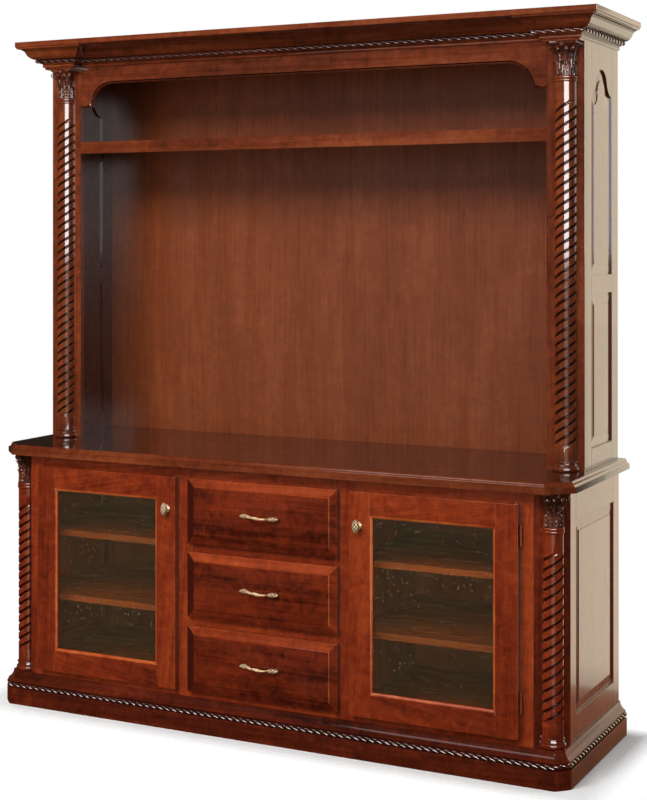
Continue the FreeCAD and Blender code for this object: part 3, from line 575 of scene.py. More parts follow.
# Painted shade on the base top: the board is darkened, and its moulded front edge is lifted back by this
# much.
FASCIA_SHADE_LIFT = 4.8
LIT_EDGE = 6.0
FIELD_CHAMFER = 0.0023
VALANCE_ROUND = 0.013
QUIRK_DEPTH = 0.0012
ROUND_SEGMENTS = 6


def drawer_wear_and_painted_light(face):
    """Painted light and shade on a raised field: the upper bevel painted lighter as if lit from above,
    the left bevel darker as end grain in painted shade, the right bevel a little lighter, a painted
    highlight on the right-facing chamfer, and worn edges lighter.
    """
    normal = face.normal
    if normal.y > -FACING:
        return EDGE_WEAR_AND_PAINTED_LIGHT if normal.y < -LEANING else 0.0
    if normal.x > FACING:
        return LIT_EDGE
    if abs(normal.x) > LEANING:
        return LEFT_BEVEL_END_GRAIN_AND_SHADE if normal.x < 0 else RIGHT_BEVEL_PAINTED_LIGHT
    return UPPER_BEVEL_PAINTED_LIGHT if normal.z > LEANING else 0.0


def panel_painted_light(face):
    """The bevels of a side panel that lean towards the front are painted lighter, a painted light."""
    return EDGE_WEAR_AND_PAINTED_LIGHT if face.normal.y < -LEANING else 0.0


def sticking_stain(face):
    """The moulded edge round the glass is rubbed lighter than the flat wood."""
    return EDGE_WEAR_AND_PAINTED_LIGHT if max(abs(c) for c in face.normal) < SQUARE else 0.0


def fascia_out_of_painted_shade(face):
    """The top board is painted darker as shade on its top face; its moulded front edge and the upward
    steps below the top are lifted back lighter.
    """
    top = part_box("base_top")[1].z
    below = all(corner.co.z < top - EDGE_ROUND for corner in face.verts)
    return FASCIA_SHADE_LIFT if face.normal.y < -MOULDED or (below and face.normal.z > MOULDED) else 0.0


def field_chamfer(bm):
    """The narrow chamfer round the raised field of a drawer front."""
    front = min(corner.co.y for corner in bm.verts)
    edges = [e for e in bm.edges if all(c.co.y < front + EDGE_ROUND for c in e.verts)]
    bevel(bm, edges, FIELD_CHAMFER, 1)


def valance_edge(bm):
    """The valance's front lower edge, rounded over below a quirk: its arch, its steps and its feet."""
    low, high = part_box("hutch_valance")
    hollow = bm.verts.layers.float.new("hollow")
    edges = []
    for edge in bm.edges:
        if any(abs(corner.co.y - low.y) > EDGE_ROUND for corner in edge.verts):
            continue
        inner = [f.normal for f in edge.link_faces if abs(f.normal.y) < FACING]
        at_end = all(min(c.co.x - low.x, high.x - c.co.x) < EDGE_ROUND for c in edge.verts)
        if inner and inner[0].z < FACING and not at_end:
            edges.append(edge)
    made = bevel(bm, edges, VALANCE_ROUND, ROUND_SEGMENTS)
    # The quirk along the arch is darkened, as glazing and painted shade.
    for corner in {c for face in made["faces"] for c in face.verts}:
        if QUIRK_DEPTH / 8 < corner.co.y - low.y < QUIRK_DEPTH:
            corner.co.y += QUIRK_DEPTH
            corner[hollow] = 1.0


# Half columns

SHAFT_RADIUS = 0.032
COLUMN_FACETS = 48
COLUMN_FOOT_RADIUS = 0.039
COLUMN_FOOT_HEIGHT = 0.025
COLUMN_RING_RADIUS = 0.0355
COLUMN_RING_HEIGHT = 0.009
COLUMN_NECK_RADIUS = 0.035
COLUMN_NECK_HEIGHT = 0.018
CANT_DEGREES = 45
FOOT_SEAT = 0.002
FOOT_HOLLOW = ((0.002, 0.0028), (0.005, 0.0012))
RING_FOOT = (0.002, 0.0006)
RING_GAP = 0.004
NECK_QUIRK = 0.0004
NECK_STEP = 0.0006
BEAD_SHARE = 0.6
BEAD_STEPS = 8
BEAD_FULLNESS = 0.7
ROPE_TURN_LEAD = 0.115
ROPE_TURN_STARTS = 4
ROPE_PLAIN_LENGTH = 0.070
ROPE_TAPER = 0.016
ROPE_GROOVE_WIDTH = 0.0112
ROPE_GROOVE_DEPTH = 0.0054
GROOVE_SHARES = (-0.5, -0.38, -0.22, 0.0, 0.22, 0.38, 0.5)
GROOVE_GLAZE_AND_SHADE = 0.95
STRAND_STEPS = 5
FOOT_DARKENING = 0.3
HUTCH_COLUMN_TONE = 1.8
BASE_COLUMN_TONE = 0.4


class Site:
    """Where a half column stands against the wood behind it, and the way it faces."""

    def __init__(self, x, y, facing):
        turn = math.radians(facing)
        self.axis = Vector((x, y, 0))
        self.outward = Vector((math.sin(turn), -math.cos(turn), 0))
        self.along = Vector((math.cos(turn), math.sin(turn), 0))

    def at(self, radius, angle, z):
        """A point round the axis: angle 0 is at the right, a half turn at the left."""
        flat = self.along * math.cos(angle) + self.outward * math.sin(angle)
        return self.axis + radius * flat + UP * z

    def off(self, sideways, out, z):
        """A point by its distances from the axis."""
        return self.axis + self.along * sideways + self.outward * out + UP * z


def column_site(node):
    """The axis of a half column, from the box of its solid and the radius of its foot."""
    low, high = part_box(node)
    middle = (low.x + high.x) / 2
    if node.startswith("hutch"):
        return Site(middle, high.y, 0)
    x = high.x - COLUMN_FOOT_RADIUS if middle > 0 else low.x + COLUMN_FOOT_RADIUS
    return Site(x, low.y + COLUMN_FOOT_RADIUS, math.copysign(CANT_DEGREES, middle))


def bulge(low, high, inner, outer):
    """The profile of a round bead between two heights, as pairs of height and radius."""
    middle, half = (low + high) / 2, (high - low) / 2
    profile = []
    for turn in half_turn(BEAD_STEPS):
        out = (outer - inner) * math.sin(turn) ** BEAD_FULLNESS
        profile.append((middle - half * math.cos(turn), inner + out))
    return profile


def foot_profile(z):
    """Turned foot: a wide torus, a hollow above it and a thin ring."""
    torus = z + COLUMN_FOOT_HEIGHT * BEAD_SHARE
    top = z + COLUMN_FOOT_HEIGHT + COLUMN_RING_HEIGHT
    ring = top - RING_GAP - COLUMN_RING_HEIGHT * BEAD_SHARE
    profile = bulge(z, torus, SHAFT_RADIUS + FOOT_SEAT, COLUMN_FOOT_RADIUS)
    profile += [(torus + rise, SHAFT_RADIUS + out) for rise, out in FOOT_HOLLOW]
    profile += [(ring - RING_FOOT[0], SHAFT_RADIUS + RING_FOOT[1])]
    profile += bulge(ring, top - RING_GAP, SHAFT_RADIUS, COLUMN_RING_RADIUS)
    return profile + [(top, SHAFT_RADIUS)]


def neck_profile(z):
    """Turned neck below a capital: two beads with a narrow quirk between them."""
    middle = z - COLUMN_NECK_HEIGHT / 2
    lower = bulge(z - COLUMN_NECK_HEIGHT, middle, SHAFT_RADIUS, COLUMN_NECK_RADIUS)
    radius = COLUMN_NECK_RADIUS - NECK_STEP
    return lower + bulge(middle + NECK_QUIRK, z - NECK_QUIRK / 2, SHAFT_RADIUS, radius)


def rope_rows(low, high):
    """Rows of a rope-turned shaft. Each row climbs along a groove, and is held between both ends."""
    spacing = ROPE_TURN_LEAD / ROPE_TURN_STARTS
    strand = spacing - ROPE_GROOVE_WIDTH
    offsets = [share * ROPE_GROOVE_WIDTH for share in GROOVE_SHARES]
    for i in range(1, STRAND_STEPS + 1):
        offsets.append(ROPE_GROOVE_WIDTH / 2 + strand * i / (STRAND_STEPS + 1))
    first = -math.ceil(ROPE_TURN_LEAD / 2 / spacing)
    count = math.ceil((high - low) / spacing) + 1
    return [(low + turn * spacing + offset, offset) for turn in range(first, count) for offset in offsets]


def rope_point(start, offset, share, low, high):
    """Height, radius and hollow of a point on a row, at a share of the half turn from the left."""
    z = min(max(start + share * ROPE_TURN_LEAD / 2, low), high)
    taper = min(max(min(z - low, high - z) / ROPE_TAPER, 0.0), 1.0)
    across = abs(offset) / (ROPE_GROOVE_WIDTH / 2)
    if across < 1:
        depth = math.cos(across * math.pi / 2) ** 0.8 * taper
        return z, SHAFT_RADIUS - ROPE_GROOVE_DEPTH * depth, depth
    return z, SHAFT_RADIUS, 0.0


def half_column(node):
    """A half-round column: turned foot, rope-turned shaft and ringed neck, flat at the back."""
    site = column_site(node)
    low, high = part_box(node)
    angles = half_turn(COLUMN_FACETS)
    rope_low = low.z + ROPE_PLAIN_LENGTH
    rope_high = high.z - ROPE_PLAIN_LENGTH
    rings, hollows = [], []
    for z, radius in foot_profile(low.z):
        rings.append([site.at(radius, a, z) for a in angles])
        # The whole foot is made darker.
        hollows.append([FOOT_DARKENING] * len(angles))
    for start, offset in rope_rows(rope_low, rope_high):
        row = [rope_point(start, offset, 1 - a / math.pi, rope_low, rope_high) for a in angles]
        rings.append([site.at(radius, a, z) for a, (z, radius, _) in zip(angles, row)])
        # The grooves are darkened by their depth, as glazing and painted shade.
        hollows.append([GROOVE_GLAZE_AND_SHADE * depth**0.7 for _, _, depth in row])
    for z, radius in neck_profile(high.z):
        rings.append([site.at(radius, a, z) for a in angles])
        hollows.append([0.0] * len(angles))
    skin = Skin()
    upper = node.startswith("hutch")
    skin.loft(rings, hollows=hollows, tone=HUTCH_COLUMN_TONE if upper else BASE_COLUMN_TONE)
    skin.finish(f"{node}_turned", node, hutch_finish if upper else boards_finish)


# Rope beads along the plinth and the crown

PLINTH_ROPE_RADIUS = 0.009
PLINTH_ROPE_PITCH = 0.0255
PLINTH_ROPE_SLANT = 0.026
PLINTH_ROPE_CLIP = 0.0312
CROWN_ROPE_RADIUS = 0.0075
CROWN_ROPE_PITCH = 0.0295
CROWN_ROPE_SLANT = 0.024
CROWN_ROPE_OFFSET = 0.017
CROWN_ROPE_REACH = 0.0245
CROWN_BREAK_WIDTH = 0.1175
CROWN_BREAK_STEP = 0.044
STRAND_SHARES = (0.0, 0.07, 0.18, 0.33, 0.5, 0.67, 0.82, 0.93)
STRAND_SINK = 0.5
STRAND_GLAZE_AND_SHADE = 1.3
ROPE_FACETS = 12


def mitre_steps(path):
    """At each point of a plan path, how far the point moves for a unit outwards, mitres included."""
    ways = [(b - a).normalized() for a, b in zip(path, path[1:])]
    sides = [Vector((w.y, -w.x)) for w in ways]
    steps = [sides[0]]
    for before, after in zip(sides, sides[1:]):
        whole = before + after
        steps.append(whole / whole.dot(after))
    steps.append(sides[-1])
    return ways, sides, steps


def rope_bead(node, path, radius, pitch, slant):
    """A half-round bead carved as a laid rope, in mitred runs along a plan path."""
    low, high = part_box(node)
    middle = (low.z + high.z) / 2
    ways, sides, steps = mitre_steps(path)
    angles = [math.pi * (i / ROPE_FACETS - 0.5) for i in range(ROPE_FACETS + 1)]
    skin = Skin()
    for i, way in enumerate(ways):
        length = (path[i + 1] - path[i]).length
        near, far = steps[i].dot(way), steps[i + 1].dot(way)
        first = -math.ceil(slant / pitch) - 1
        count = math.ceil((length + slant) / pitch)
        rings, hollows = [], []
        for turn in range(first, count + 2):
            for share in STRAND_SHARES:
                ring = []
                sink = 1 - math.sqrt(1 - (2 * share - 1) ** 2)
                for angle in angles:
                    out = radius * (1 - STRAND_SINK * sink) * math.cos(angle)
                    up = radius * (1 - STRAND_SINK * sink * 0.5) * math.sin(angle)
                    s = (turn + share) * pitch - slant * angle / math.pi
                    s = min(max(s, near * out), length + far * out)
                    spot = path[i] + way * s + sides[i] * out
                    ring.append(Vector((spot.x, spot.y, middle + up)))
                rings.append(ring)
                # The valleys between strands are darkened, as glazing and painted shade.
                hollows.append([min(STRAND_GLAZE_AND_SHADE * sink**1.5, 1.0)] * len(angles))
        skin.loft(rings, along=Vector((way.x, way.y, 0)), hollows=hollows)
    skin.finish(f"{node}_carved", node, rope_finish)


def both_sides(right):
    """The whole of a plan line from its right half."""
    return [Vector((-x, y)) for x, y in reversed(right)] + [Vector(p) for p in right]


def plinth_rope():
    """The bead round the plinth, across its two canted corners."""
    low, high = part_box("plinth_rope")
    x = high.x - PLINTH_ROPE_RADIUS
    y = low.y + PLINTH_ROPE_RADIUS
    path = both_sides([(x - PLINTH_ROPE_CLIP, y), (x, y + PLINTH_ROPE_CLIP), (x, high.y)])
    rope_bead("plinth_rope", path, PLINTH_ROPE_RADIUS, PLINTH_ROPE_PITCH, PLINTH_ROPE_SLANT)


def crown_rope():
    """The bead round the top of the hutch, stepping out over each column."""
    low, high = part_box("crown_rope")
    x = high.x - CROWN_ROPE_REACH
    y = low.y + CROWN_ROPE_REACH
    inner = x - CROWN_BREAK_WIDTH
    line = both_sides([(inner, y + CROWN_BREAK_STEP), (inner, y), (x, y), (x, high.y)])
    path = [p + step * CROWN_ROPE_OFFSET for p, step in zip(line, mitre_steps(line)[2])]
    rope_bead("crown_rope", path, CROWN_ROPE_RADIUS, CROWN_ROPE_PITCH, CROWN_ROPE_SLANT)


# Capitals. A scroll's numbers are its place sideways, outwards and down, and its lean in degrees.

CAPITAL_HALF_WIDTH = 0.042
CAPITAL_ABACUS = 0.009
BELL_FOOT = 0.029
BELL_WAIST = 0.027
BELL_LIP = 0.038
BELL_WAIST_SHARE = 0.35
BELL_ROWS = 20
BELL_FACETS = 24
BELL_GLAZE_AND_SHADE = 0.55
LOWER_LEAVES = {"start": 0.02, "length": 0.50, "width": 0.0098, "curl": 0.0075}
UPPER_LEAVES = {"start": 0.22, "length": 0.62, "width": 0.0090, "curl": 0.0090}
LEAVES = 5
LEAF_ROWS = 16
LEAF_COLUMNS = 12
LEAF_LOBES = 3.5
LEAF_LIFT = 0.0022
LEAF_RIB = 0.0022
LEAF_VEIN = 0.0016
LEAF_CUP = 0.0022
LEAF_THICKNESS = 0.0028
LEAF_SEAT = 0.001
LEAF_TIP_DROP = 0.0012
LEAF_BACK_PAINTED_SHADE = 0.9
SCROLL_TURNS = 1.6
SCROLL_STEPS = 40
SCROLL_SECTION = 8
SCROLL_RADIUS = 0.0118
SCROLL_THICKNESS = 0.0017
SCROLL_WIDTH = 0.0052
SCROLL_INSET = 0.0014
SCROLL_EYE = 0.0026
SCROLL_EYE_REACH = 0.0062
SCROLLS = ((0.0325, 0.0305, 0.0120, 45), (0.0120, 0.0290, 0.0135, 8))
BERRIES = 3
BERRY_SIDES = 10
BERRY_RADIUS = 0.0024
BERRY_PLACE = Vector((0.020, 0.030, -0.030))
BERRY_STEP = Vector((-0.006, 0.001, -0.011))
PETALS = 6
PETAL_RADIUS = 0.0026
PETAL_SINK = 0.0056
HEART_SINK = 0.0046
FLOWER_HEART = 0.0028
FLOWER_RADIUS = 0.0042
FLOWER_RISE = 0.0015
ABACUS_LEVELS = ((0.0, 0.84), (0.25, 0.90), (0.3, 0.96), (0.62, 1.0), (1.0, 1.0))
ABACUS_CLIP = 0.86
ABACUS_SIDE = 0.72
ABACUS_DIP = 0.16
ABACUS_STEPS = 8


def bell_radius(share):
    """Radius of the capital's bell at a share of its height."""
    if share < BELL_WAIST_SHARE:
        return BELL_FOOT + (BELL_WAIST - BELL_FOOT) * share / BELL_WAIST_SHARE
    rise = (share - BELL_WAIST_SHARE) / (1 - BELL_WAIST_SHARE)
    return BELL_WAIST + (BELL_LIP - BELL_WAIST) * rise**2.2


def leaf(skin, site, low, height, angle, start, length, width, curl):
    """An acanthus leaf on the bell: lobed, ribbed and curling out at its tip."""
    rings, hollows = [], []
    for row in range(LEAF_ROWS + 1):
        v = row / LEAF_ROWS
        share = start + length * (v - 0.10 * v**7)
        z = low + height * share
        bell = bell_radius(min(share, 1.0))
        lobe = 1 + 0.20 * math.sin(2 * math.pi * LEAF_LOBES * v + 0.6)
        half = width * (0.62 + 0.38 * math.sin(math.pi * min(v * 1.15, 1))) * (1 - 0.75 * v**5) * lobe
        tip = v**4
        back = bell - LEAF_SEAT + max(curl * tip - LEAF_THICKNESS, 0.0)
        outer, inner, deep = [], [], []
        for column in range(LEAF_COLUMNS + 1):
            u = 2 * column / LEAF_COLUMNS - 1
            rib = math.exp(-((u / 0.16) ** 2))
            vein = 0.5 + 0.5 * math.cos(2 * math.pi * (2.2 * abs(u) + LEAF_LOBES * v))
            lift = LEAF_LIFT + LEAF_RIB * rib + LEAF_VEIN * vein * (1 - rib)
            lift += curl * tip - LEAF_CUP * abs(u) ** 3
            turn = angle + u * half / bell
            outer.append(site.at(bell + lift, turn, z))
            inner.append(site.at(back, turn, z - LEAF_TIP_DROP * tip))
            # Painted shade: the hollows between veins, the leaf's edges and its back are darkened.
            shade = 0.75 * (1 - vein) * (1 - rib)
            deep.append(min(shade + 0.35 * abs(u) ** 4, 1.0))
        rings.append(outer + inner[::-1])
        hollows.append(deep + [LEAF_BACK_PAINTED_SHADE] * len(inner))
    skin.loft(rings, hollows=hollows)


def bead(skin, centre, pole, side, top, rows, cap):
    """A small round body by its centre and three half axes, with a small flat cap at each pole."""
    rings = []
    for row in range(rows + 1):
        tilt = math.pi * (cap + (1 - 2 * cap) * row / rows)
        ring = []
        for turn in full_turn(BERRY_SIDES):
            around = side * math.cos(turn) + top * math.sin(turn)
            ring.append(centre + pole * math.cos(tilt) + around * math.sin(tilt))
        rings.append(ring)
    skin.loft(rings)


def berry(skin, centre, radius, way):
    """A small round bead of the carving."""
    side = UP.cross(way).normalized()
    bead(skin, centre, way * radius, side * radius, way.cross(side) * radius, rows=6, cap=0.05)


def scroll(skin, site, centre, lean):
    """A scroll under the abacus: a ribbon wound into a spiral that faces outwards, round an eye."""
    lean = math.radians(lean)
    way = site.along * math.sin(lean) + site.outward * math.cos(lean)
    across = site.along * math.cos(lean) - site.outward * math.sin(lean)
    rings = []
    for step in range(SCROLL_STEPS + 1):
        share = step / SCROLL_STEPS
        turn = math.pi * 0.9 - 2 * math.pi * SCROLL_TURNS * share
        reach = SCROLL_RADIUS * (1 - 0.72 * share) - SCROLL_INSET
        radial = way * math.cos(turn) + UP * math.sin(turn)
        middle = centre + radial * reach
        thick = SCROLL_THICKNESS * (1 - 0.3 * share)
        wide = SCROLL_WIDTH * (1 - 0.25 * share)
        ring = []
        for a in full_turn(SCROLL_SECTION):
            ring.append(middle + radial * (thick * math.cos(a)) + across * (wide * math.sin(a)))
        rings.append(ring)
    skin.loft(rings)
    bead(skin, centre, across * -SCROLL_EYE_REACH, way * SCROLL_EYE, UP * SCROLL_EYE, rows=8, cap=0.04)


def flower(skin, site, z):
    """The small flower in the middle of the abacus: petals round a heart."""
    for turn in full_turn(PETALS):
        up = z + FLOWER_RADIUS * math.sin(turn)
        spot = site.off(FLOWER_RADIUS * math.cos(turn), CAPITAL_HALF_WIDTH - PETAL_SINK, up)
        berry(skin, spot, PETAL_RADIUS, site.outward)
    berry(skin, site.off(0, CAPITAL_HALF_WIDTH - HEART_SINK, z), FLOWER_HEART, site.outward)


def abacus(skin, site, low, high):
    """The capital's top slab: hollow-sided, with clipped corners and a moulded edge."""
    rings = []
    for share, size in ABACUS_LEVELS:
        z = low + (high - low) * share
        w = CAPITAL_HALF_WIDTH * size
        right = [(w, 0), (w, ABACUS_SIDE * w), (w, ABACUS_CLIP * w), (ABACUS_CLIP * w, w)]
        front = []
        for k in range(1, ABACUS_STEPS):
            s = k / ABACUS_STEPS
            front.append((w * ABACUS_CLIP * (1 - 2 * s), w * (1 - ABACUS_DIP * math.sin(math.pi * s))))
        left = [(-a, b) for a, b in reversed(right)]
        rings.append([site.off(sideways, out, z) for sideways, out in right + front + left])
    skin.loft(rings)


def capital(node):
    """A carved capital: bell, two rows of leaves, corner scrolls, a middle flower and the abacus."""
    site = column_site(node.replace("capital", "column"))
    low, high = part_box(node)
    top = high.z - CAPITAL_ABACUS
    height = top - low.z
    skin = Skin()
    angles = half_turn(BELL_FACETS)
    bell = []
    for i in range(BELL_ROWS + 1):
        share = i / BELL_ROWS
        bell.append([site.at(bell_radius(share), a, low.z + height * share) for a in angles])
    # The bell behind the leaves is darkened, as glazing and painted shade.
    skin.loft(bell, hollows=[[BELL_GLAZE_AND_SHADE] * len(angles)] * len(bell))
    part = math.pi / LEAVES
    for k in range(LEAVES):
        leaf(skin, site, low.z, height, part * (k + 0.5), **LOWER_LEAVES)
    for k in range(1, LEAVES):
        leaf(skin, site, low.z, height, part * k, **UPPER_LEAVES)
    for side in (-1, 1):
        for sideways, out, down, lean in SCROLLS:
            scroll(skin, site, site.off(side * sideways, out, top - down), side * lean)
        for k in range(BERRIES):
            sideways, out, up = BERRY_PLACE + k * BERRY_STEP
            berry(skin, site.off(side * sideways, out, top + up), BERRY_RADIUS, site.outward)
    flower(skin, site, top + FLOWER_RISE)
    abacus(skin, site, top, high.z)
    skin.finish(f"{node}_carved", node, capital_finish)


# Brass hardware. The knob's stem is given as distances from the door and radii.

KNOB_HALF_HEIGHT = 0.020
KNOB_HALF_WIDTH = 0.011
KNOB_HALF_THICKNESS = 0.009
KNOB_RELIEF = 0.0012
KNOB_ROWS = 96
KNOB_STEM_FACETS = 32
KNOB_STEM = (
    (0.0, 0.0112), (0.0018, 0.012), (0.0030, 0.0105),
    (0.0042, 0.0085), (0.0065, 0.0062), (0.0085, 0.0066),
)
KNOB_NECK_RADIUS = 0.0078
KNOB_NECK_DEPTH = 0.005
PULL_STATIONS = 120
PULL_SECTION = 28
PULL_LEAF_WIDTH = 0.0066
PULL_LEAF_THICKNESS = 0.0030
PULL_LEAF_END = 0.27
PULL_BUD_WIDTH = 0.0078
PULL_BUD_MIDDLE = 0.865
PULL_BUD_REACH = 0.135
PULL_BUD_FLATNESS = 0.86
PULL_STEM_WIDTH = 0.0046
PULL_STEM_THICKNESS = 0.0031
PULL_END_THICKNESS = 0.0024
PULL_TWIST_TURNS = 0.75
PULL_DROOP = 0.0016
PULL_LEAF_OUT = 0.0031
PULL_BUD_OUT = 0.0071
PULL_STEM_SINK = 0.0036
PULL_LEAF_DARKENING = 0.4


def weave(across, along, fullness):
    """How high a woven relief stands, from 0 in its grooves, which cross at a slant, to 1."""
    return min(abs(math.sin(across + along)), abs(math.sin(across - along))) ** fullness


def knob(node):
    """An oval knob with a woven, pine-cone relief, on a turned neck and foot."""
    low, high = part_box(node)
    centre = Vector(((low.x + high.x) / 2, low.y + KNOB_HALF_THICKNESS, (low.z + high.z) / 2))
    skin = Skin()
    rings, hollows = [], []
    for row in range(KNOB_ROWS + 1):
        tilt = math.pi * (0.01 + 0.98 * row / KNOB_ROWS) - math.pi / 2
        flat = math.cos(tilt)
        ring, deep = [], []
        for turn in full_turn(KNOB_ROWS):
            crest = weave(3 * turn, 5 * tilt, 0.7)
            sink = KNOB_RELIEF * (1 - crest)
            x = (KNOB_HALF_WIDTH - sink) * flat * math.cos(turn)
            y = (KNOB_HALF_THICKNESS - sink) * flat * math.sin(turn)
            z = (KNOB_HALF_HEIGHT - sink) * math.sin(tilt)
            ring.append(centre + Vector((x, y, z)))
            deep.append(smooth_step(1 - crest, 0.28, 0.5))
        rings.append(ring)
        hollows.append(deep)
    skin.loft(rings, hollows=hollows)
    profile = [(high.y - out, radius) for out, radius in KNOB_STEM]
    profile += [(centre.y + KNOB_NECK_DEPTH, KNOB_NECK_RADIUS)]
    around = [Vector((math.cos(turn), 0, math.sin(turn))) for turn in full_turn(KNOB_STEM_FACETS)]
    stem = []
    for y, radius in profile:
        middle = Vector((centre.x, y, centre.z))
        stem.append([middle + radius * way for way in around])
    skin.loft(stem)
    skin.finish(f"{node}_cast", node, brass_finish)


def pull_parts(t):
    """How much of a pull is leaf and how much bud at a share of its length, and its half height and
    half thickness."""
    leaf_part = 1 - smooth_step(t, 0.17, PULL_LEAF_END)
    bud_part = smooth_step(t, 0.68, 0.76)
    stem_part = 1 - leaf_part - bud_part
    leaf_width = PULL_LEAF_WIDTH * math.sin(math.pi * min(t / PULL_LEAF_END, 1.0)) ** 0.6 + 0.0004
    past_bud = abs((t - PULL_BUD_MIDDLE) / PULL_BUD_REACH)
    bud_width = PULL_BUD_WIDTH * max(1 - past_bud**2.4, 0.0) ** 0.5 + 0.0003
    stem_width = PULL_STEM_WIDTH - 0.0012 * abs(t - 0.5)
    tall = leaf_part * leaf_width + bud_part * bud_width + stem_part * stem_width
    thick = leaf_part * PULL_LEAF_THICKNESS + stem_part * PULL_STEM_THICKNESS
    thick += bud_part * bud_width * PULL_BUD_FLATNESS
    if t < 0.02 or t > 0.985:
        thick = min(thick, PULL_END_THICKNESS)
    return leaf_part, bud_part, tall, thick


def pull(node):
    """A cast pull: a leaf at its left end, a twisted stem and a bud with a woven relief at the right."""
    low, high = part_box(node)
    size = high - low
    middle = (low.z + high.z) / 2
    skin = Skin()
    rings, hollows = [], []
    for station in range(PULL_STATIONS + 1):
        t = station / PULL_STATIONS
        leaf_part, bud_part, tall, thick = pull_parts(t)
        twist = 2 * math.pi * PULL_TWIST_TURNS * smooth_step(t, 0.18, 0.66)
        rise = smooth_step(t, 0.10, 0.40) * (1 - smooth_step(t, 0.60, 0.84))
        seat = PULL_LEAF_OUT + (PULL_BUD_OUT - PULL_LEAF_OUT) * smooth_step(t, 0.6, 0.86)
        out = seat + (size.y - PULL_STEM_SINK - seat) * rise
        x = low.x + size.x * t
        z = middle + PULL_DROOP * math.sin(2 * math.pi * t)
        ring, deep = [], []
        for a in full_turn(PULL_SECTION):
            crest = weave(2 * a, 32 * t, 0.6)
            sink = 1 - 0.16 * bud_part * (1 - crest)
            side = thick * math.cos(a) * sink
            up = tall * math.sin(a) * sink
            turned = side * math.cos(twist) - up * math.sin(twist)
            lifted = side * math.sin(twist) + up * math.cos(twist)
            ring.append(Vector((x, high.y - max(out + turned, 0.0), z + lifted)))
            # The leaf end is made darker; the bud is darker in the hollows of its relief.
            deep.append(max(bud_part * smooth_step(1 - crest, 0.25, 0.55), PULL_LEAF_DARKENING * leaf_part))
        rings.append(ring)
        hollows.append(deep)
    skin.loft(rings, along=RIGHT, hollows=hollows)
    skin.finish(f"{node}_cast", node, brass_finish)


# The pieces

DRAWER_TONE = -2.4
# The base top is darkened all over as painted shade on its top face.
TOP_PAINTED_SHADE = -4.2
SHELF_TONE = -0.6
FRAME_TONE = 0.9

dress("base_top", hutch_finish, grain=RIGHT, round_edges=FINE_ROUND, tone=TOP_PAINTED_SHADE, wear_and_painted_light=fascia_out_of_painted_shade)
dress("hutch_shelf", hutch_finish, grain=RIGHT, round_edges=0.0, tone=SHELF_TONE)
dress("crown_board", hutch_finish, grain=RIGHT, round_edges=CROWN_BOARD_ROUND)
dress("hutch_valance", hutch_finish, grain=RIGHT, round_edges=0.0, mould=valance_edge)
dress("crown_blocks", hutch_finish)
dress("crown_moulding", hutch_finish)
dress("base_face_frame", boards_finish, tone=FRAME_TONE)
dress("plinth_frame", plinth_finish)
for side in ("left", "right"):
    dress(f"base_corner_cant_{side}", boards_finish, grain=UP)
    dress(f"base_side_frame_{side}", boards_finish)
    dress(f"base_side_panel_{side}", boards_finish, grain=UP, smooth=3)
    dress(f"hutch_side_frame_{side}", hutch_finish)
    dress(f"hutch_side_panels_{side}", hutch_finish, grain=UP, smooth=5, wear_and_painted_light=panel_painted_light)
    dress(f"hutch_stile_{side}", hutch_finish, grain=UP)
    dress(f"door_{side}_frame", boards_finish, round_edges=FRONT_ROUND, wear_and_painted_light=sticking_stain)
    for part in ("base", "hutch"):
        half_column(f"{part}_column_{side}")
        capital(f"{part}_capital_{side}")
    knob(f"door_{side}_knob")
for level in ("bottom", "middle", "top"):
    dress(
        f"drawer_{level}_front", boards_finish, grain=RIGHT, round_edges=FINE_ROUND,
        mould=field_chamfer, tone=DRAWER_TONE, wear_and_painted_light=drawer_wear_and_painted_light,
    )
    pull(f"drawer_{level}_pull")
plinth_rope()
crown_rope()

# Nodes that stay as they are take better materials

FINISHES = {
    inside_upright: ("base_back", "base_partitions", "hutch_back"),
    inside_level: (
        "base_bottom", "base_stretchers", "base_shelves", "hutch_top",
        "drawer_bottom_box", "drawer_middle_box", "drawer_top_box",
    ),
    zinc_finish: (
        "shelf_clips", "drawer_slide_channels",
        "drawer_bottom_slides", "drawer_middle_slides", "drawer_top_slides",
    ),
    hinge_finish: ("cabinet_hinge_leaves", "door_left_hinge_leaves", "door_right_hinge_leaves"),
    glass_finish: ("door_left_glass", "door_right_glass"),
}
for finish, nodes in FINISHES.items():
    for node in nodes:
        for slot in frame["nodes"][node].material_slots:
            slot.material = finish

# Floor, background and lamps. The backdrop's ranges are parts of the direction that a ray takes.

FLOOR_HALF = 4.0
FLOOR_FAR = 0.07
FLOOR_WHITE = linear(250, 250, 249)
FLOOR_BOUNCE = linear(120, 112, 104)
AMBIENT = 0.32
BACKDROP_EDGE = (0.85, 0.90)
BACKDROP_FOOT = (-0.275, -0.255)
BACKDROP_TOP = (0.30, 0.50)
BACKDROP_SHINE = 0.8
FRONT_SHINE = 0.02
FOOT_SHARE = 0.03
TOP_SHARE = 0.1
WHITE = (1.0, 1.0, 1.0, 1.0)
BACKDROP_GLOW = (1.0, 0.86, 0.66, 1.0)
FLOOR_GLOW = (1.0, 0.8, 0.62)
PALE_GLOW = (1.0, 0.89, 0.645)
BROWN_GLOW = (1.0, 0.45, 0.2)
SIDE_X = 1.66
SIDE_Y = 3.44
SIDE_WIDTH = 1.52
SIDE_LAMPS = (
    ("high", 1.91, 1.62, 0.71, PALE_GLOW),
    ("middle", 0.16, 1.88, 0.62, PALE_GLOW),
    ("low", -1.93, 2.3, 0.22, BROWN_GLOW),
)


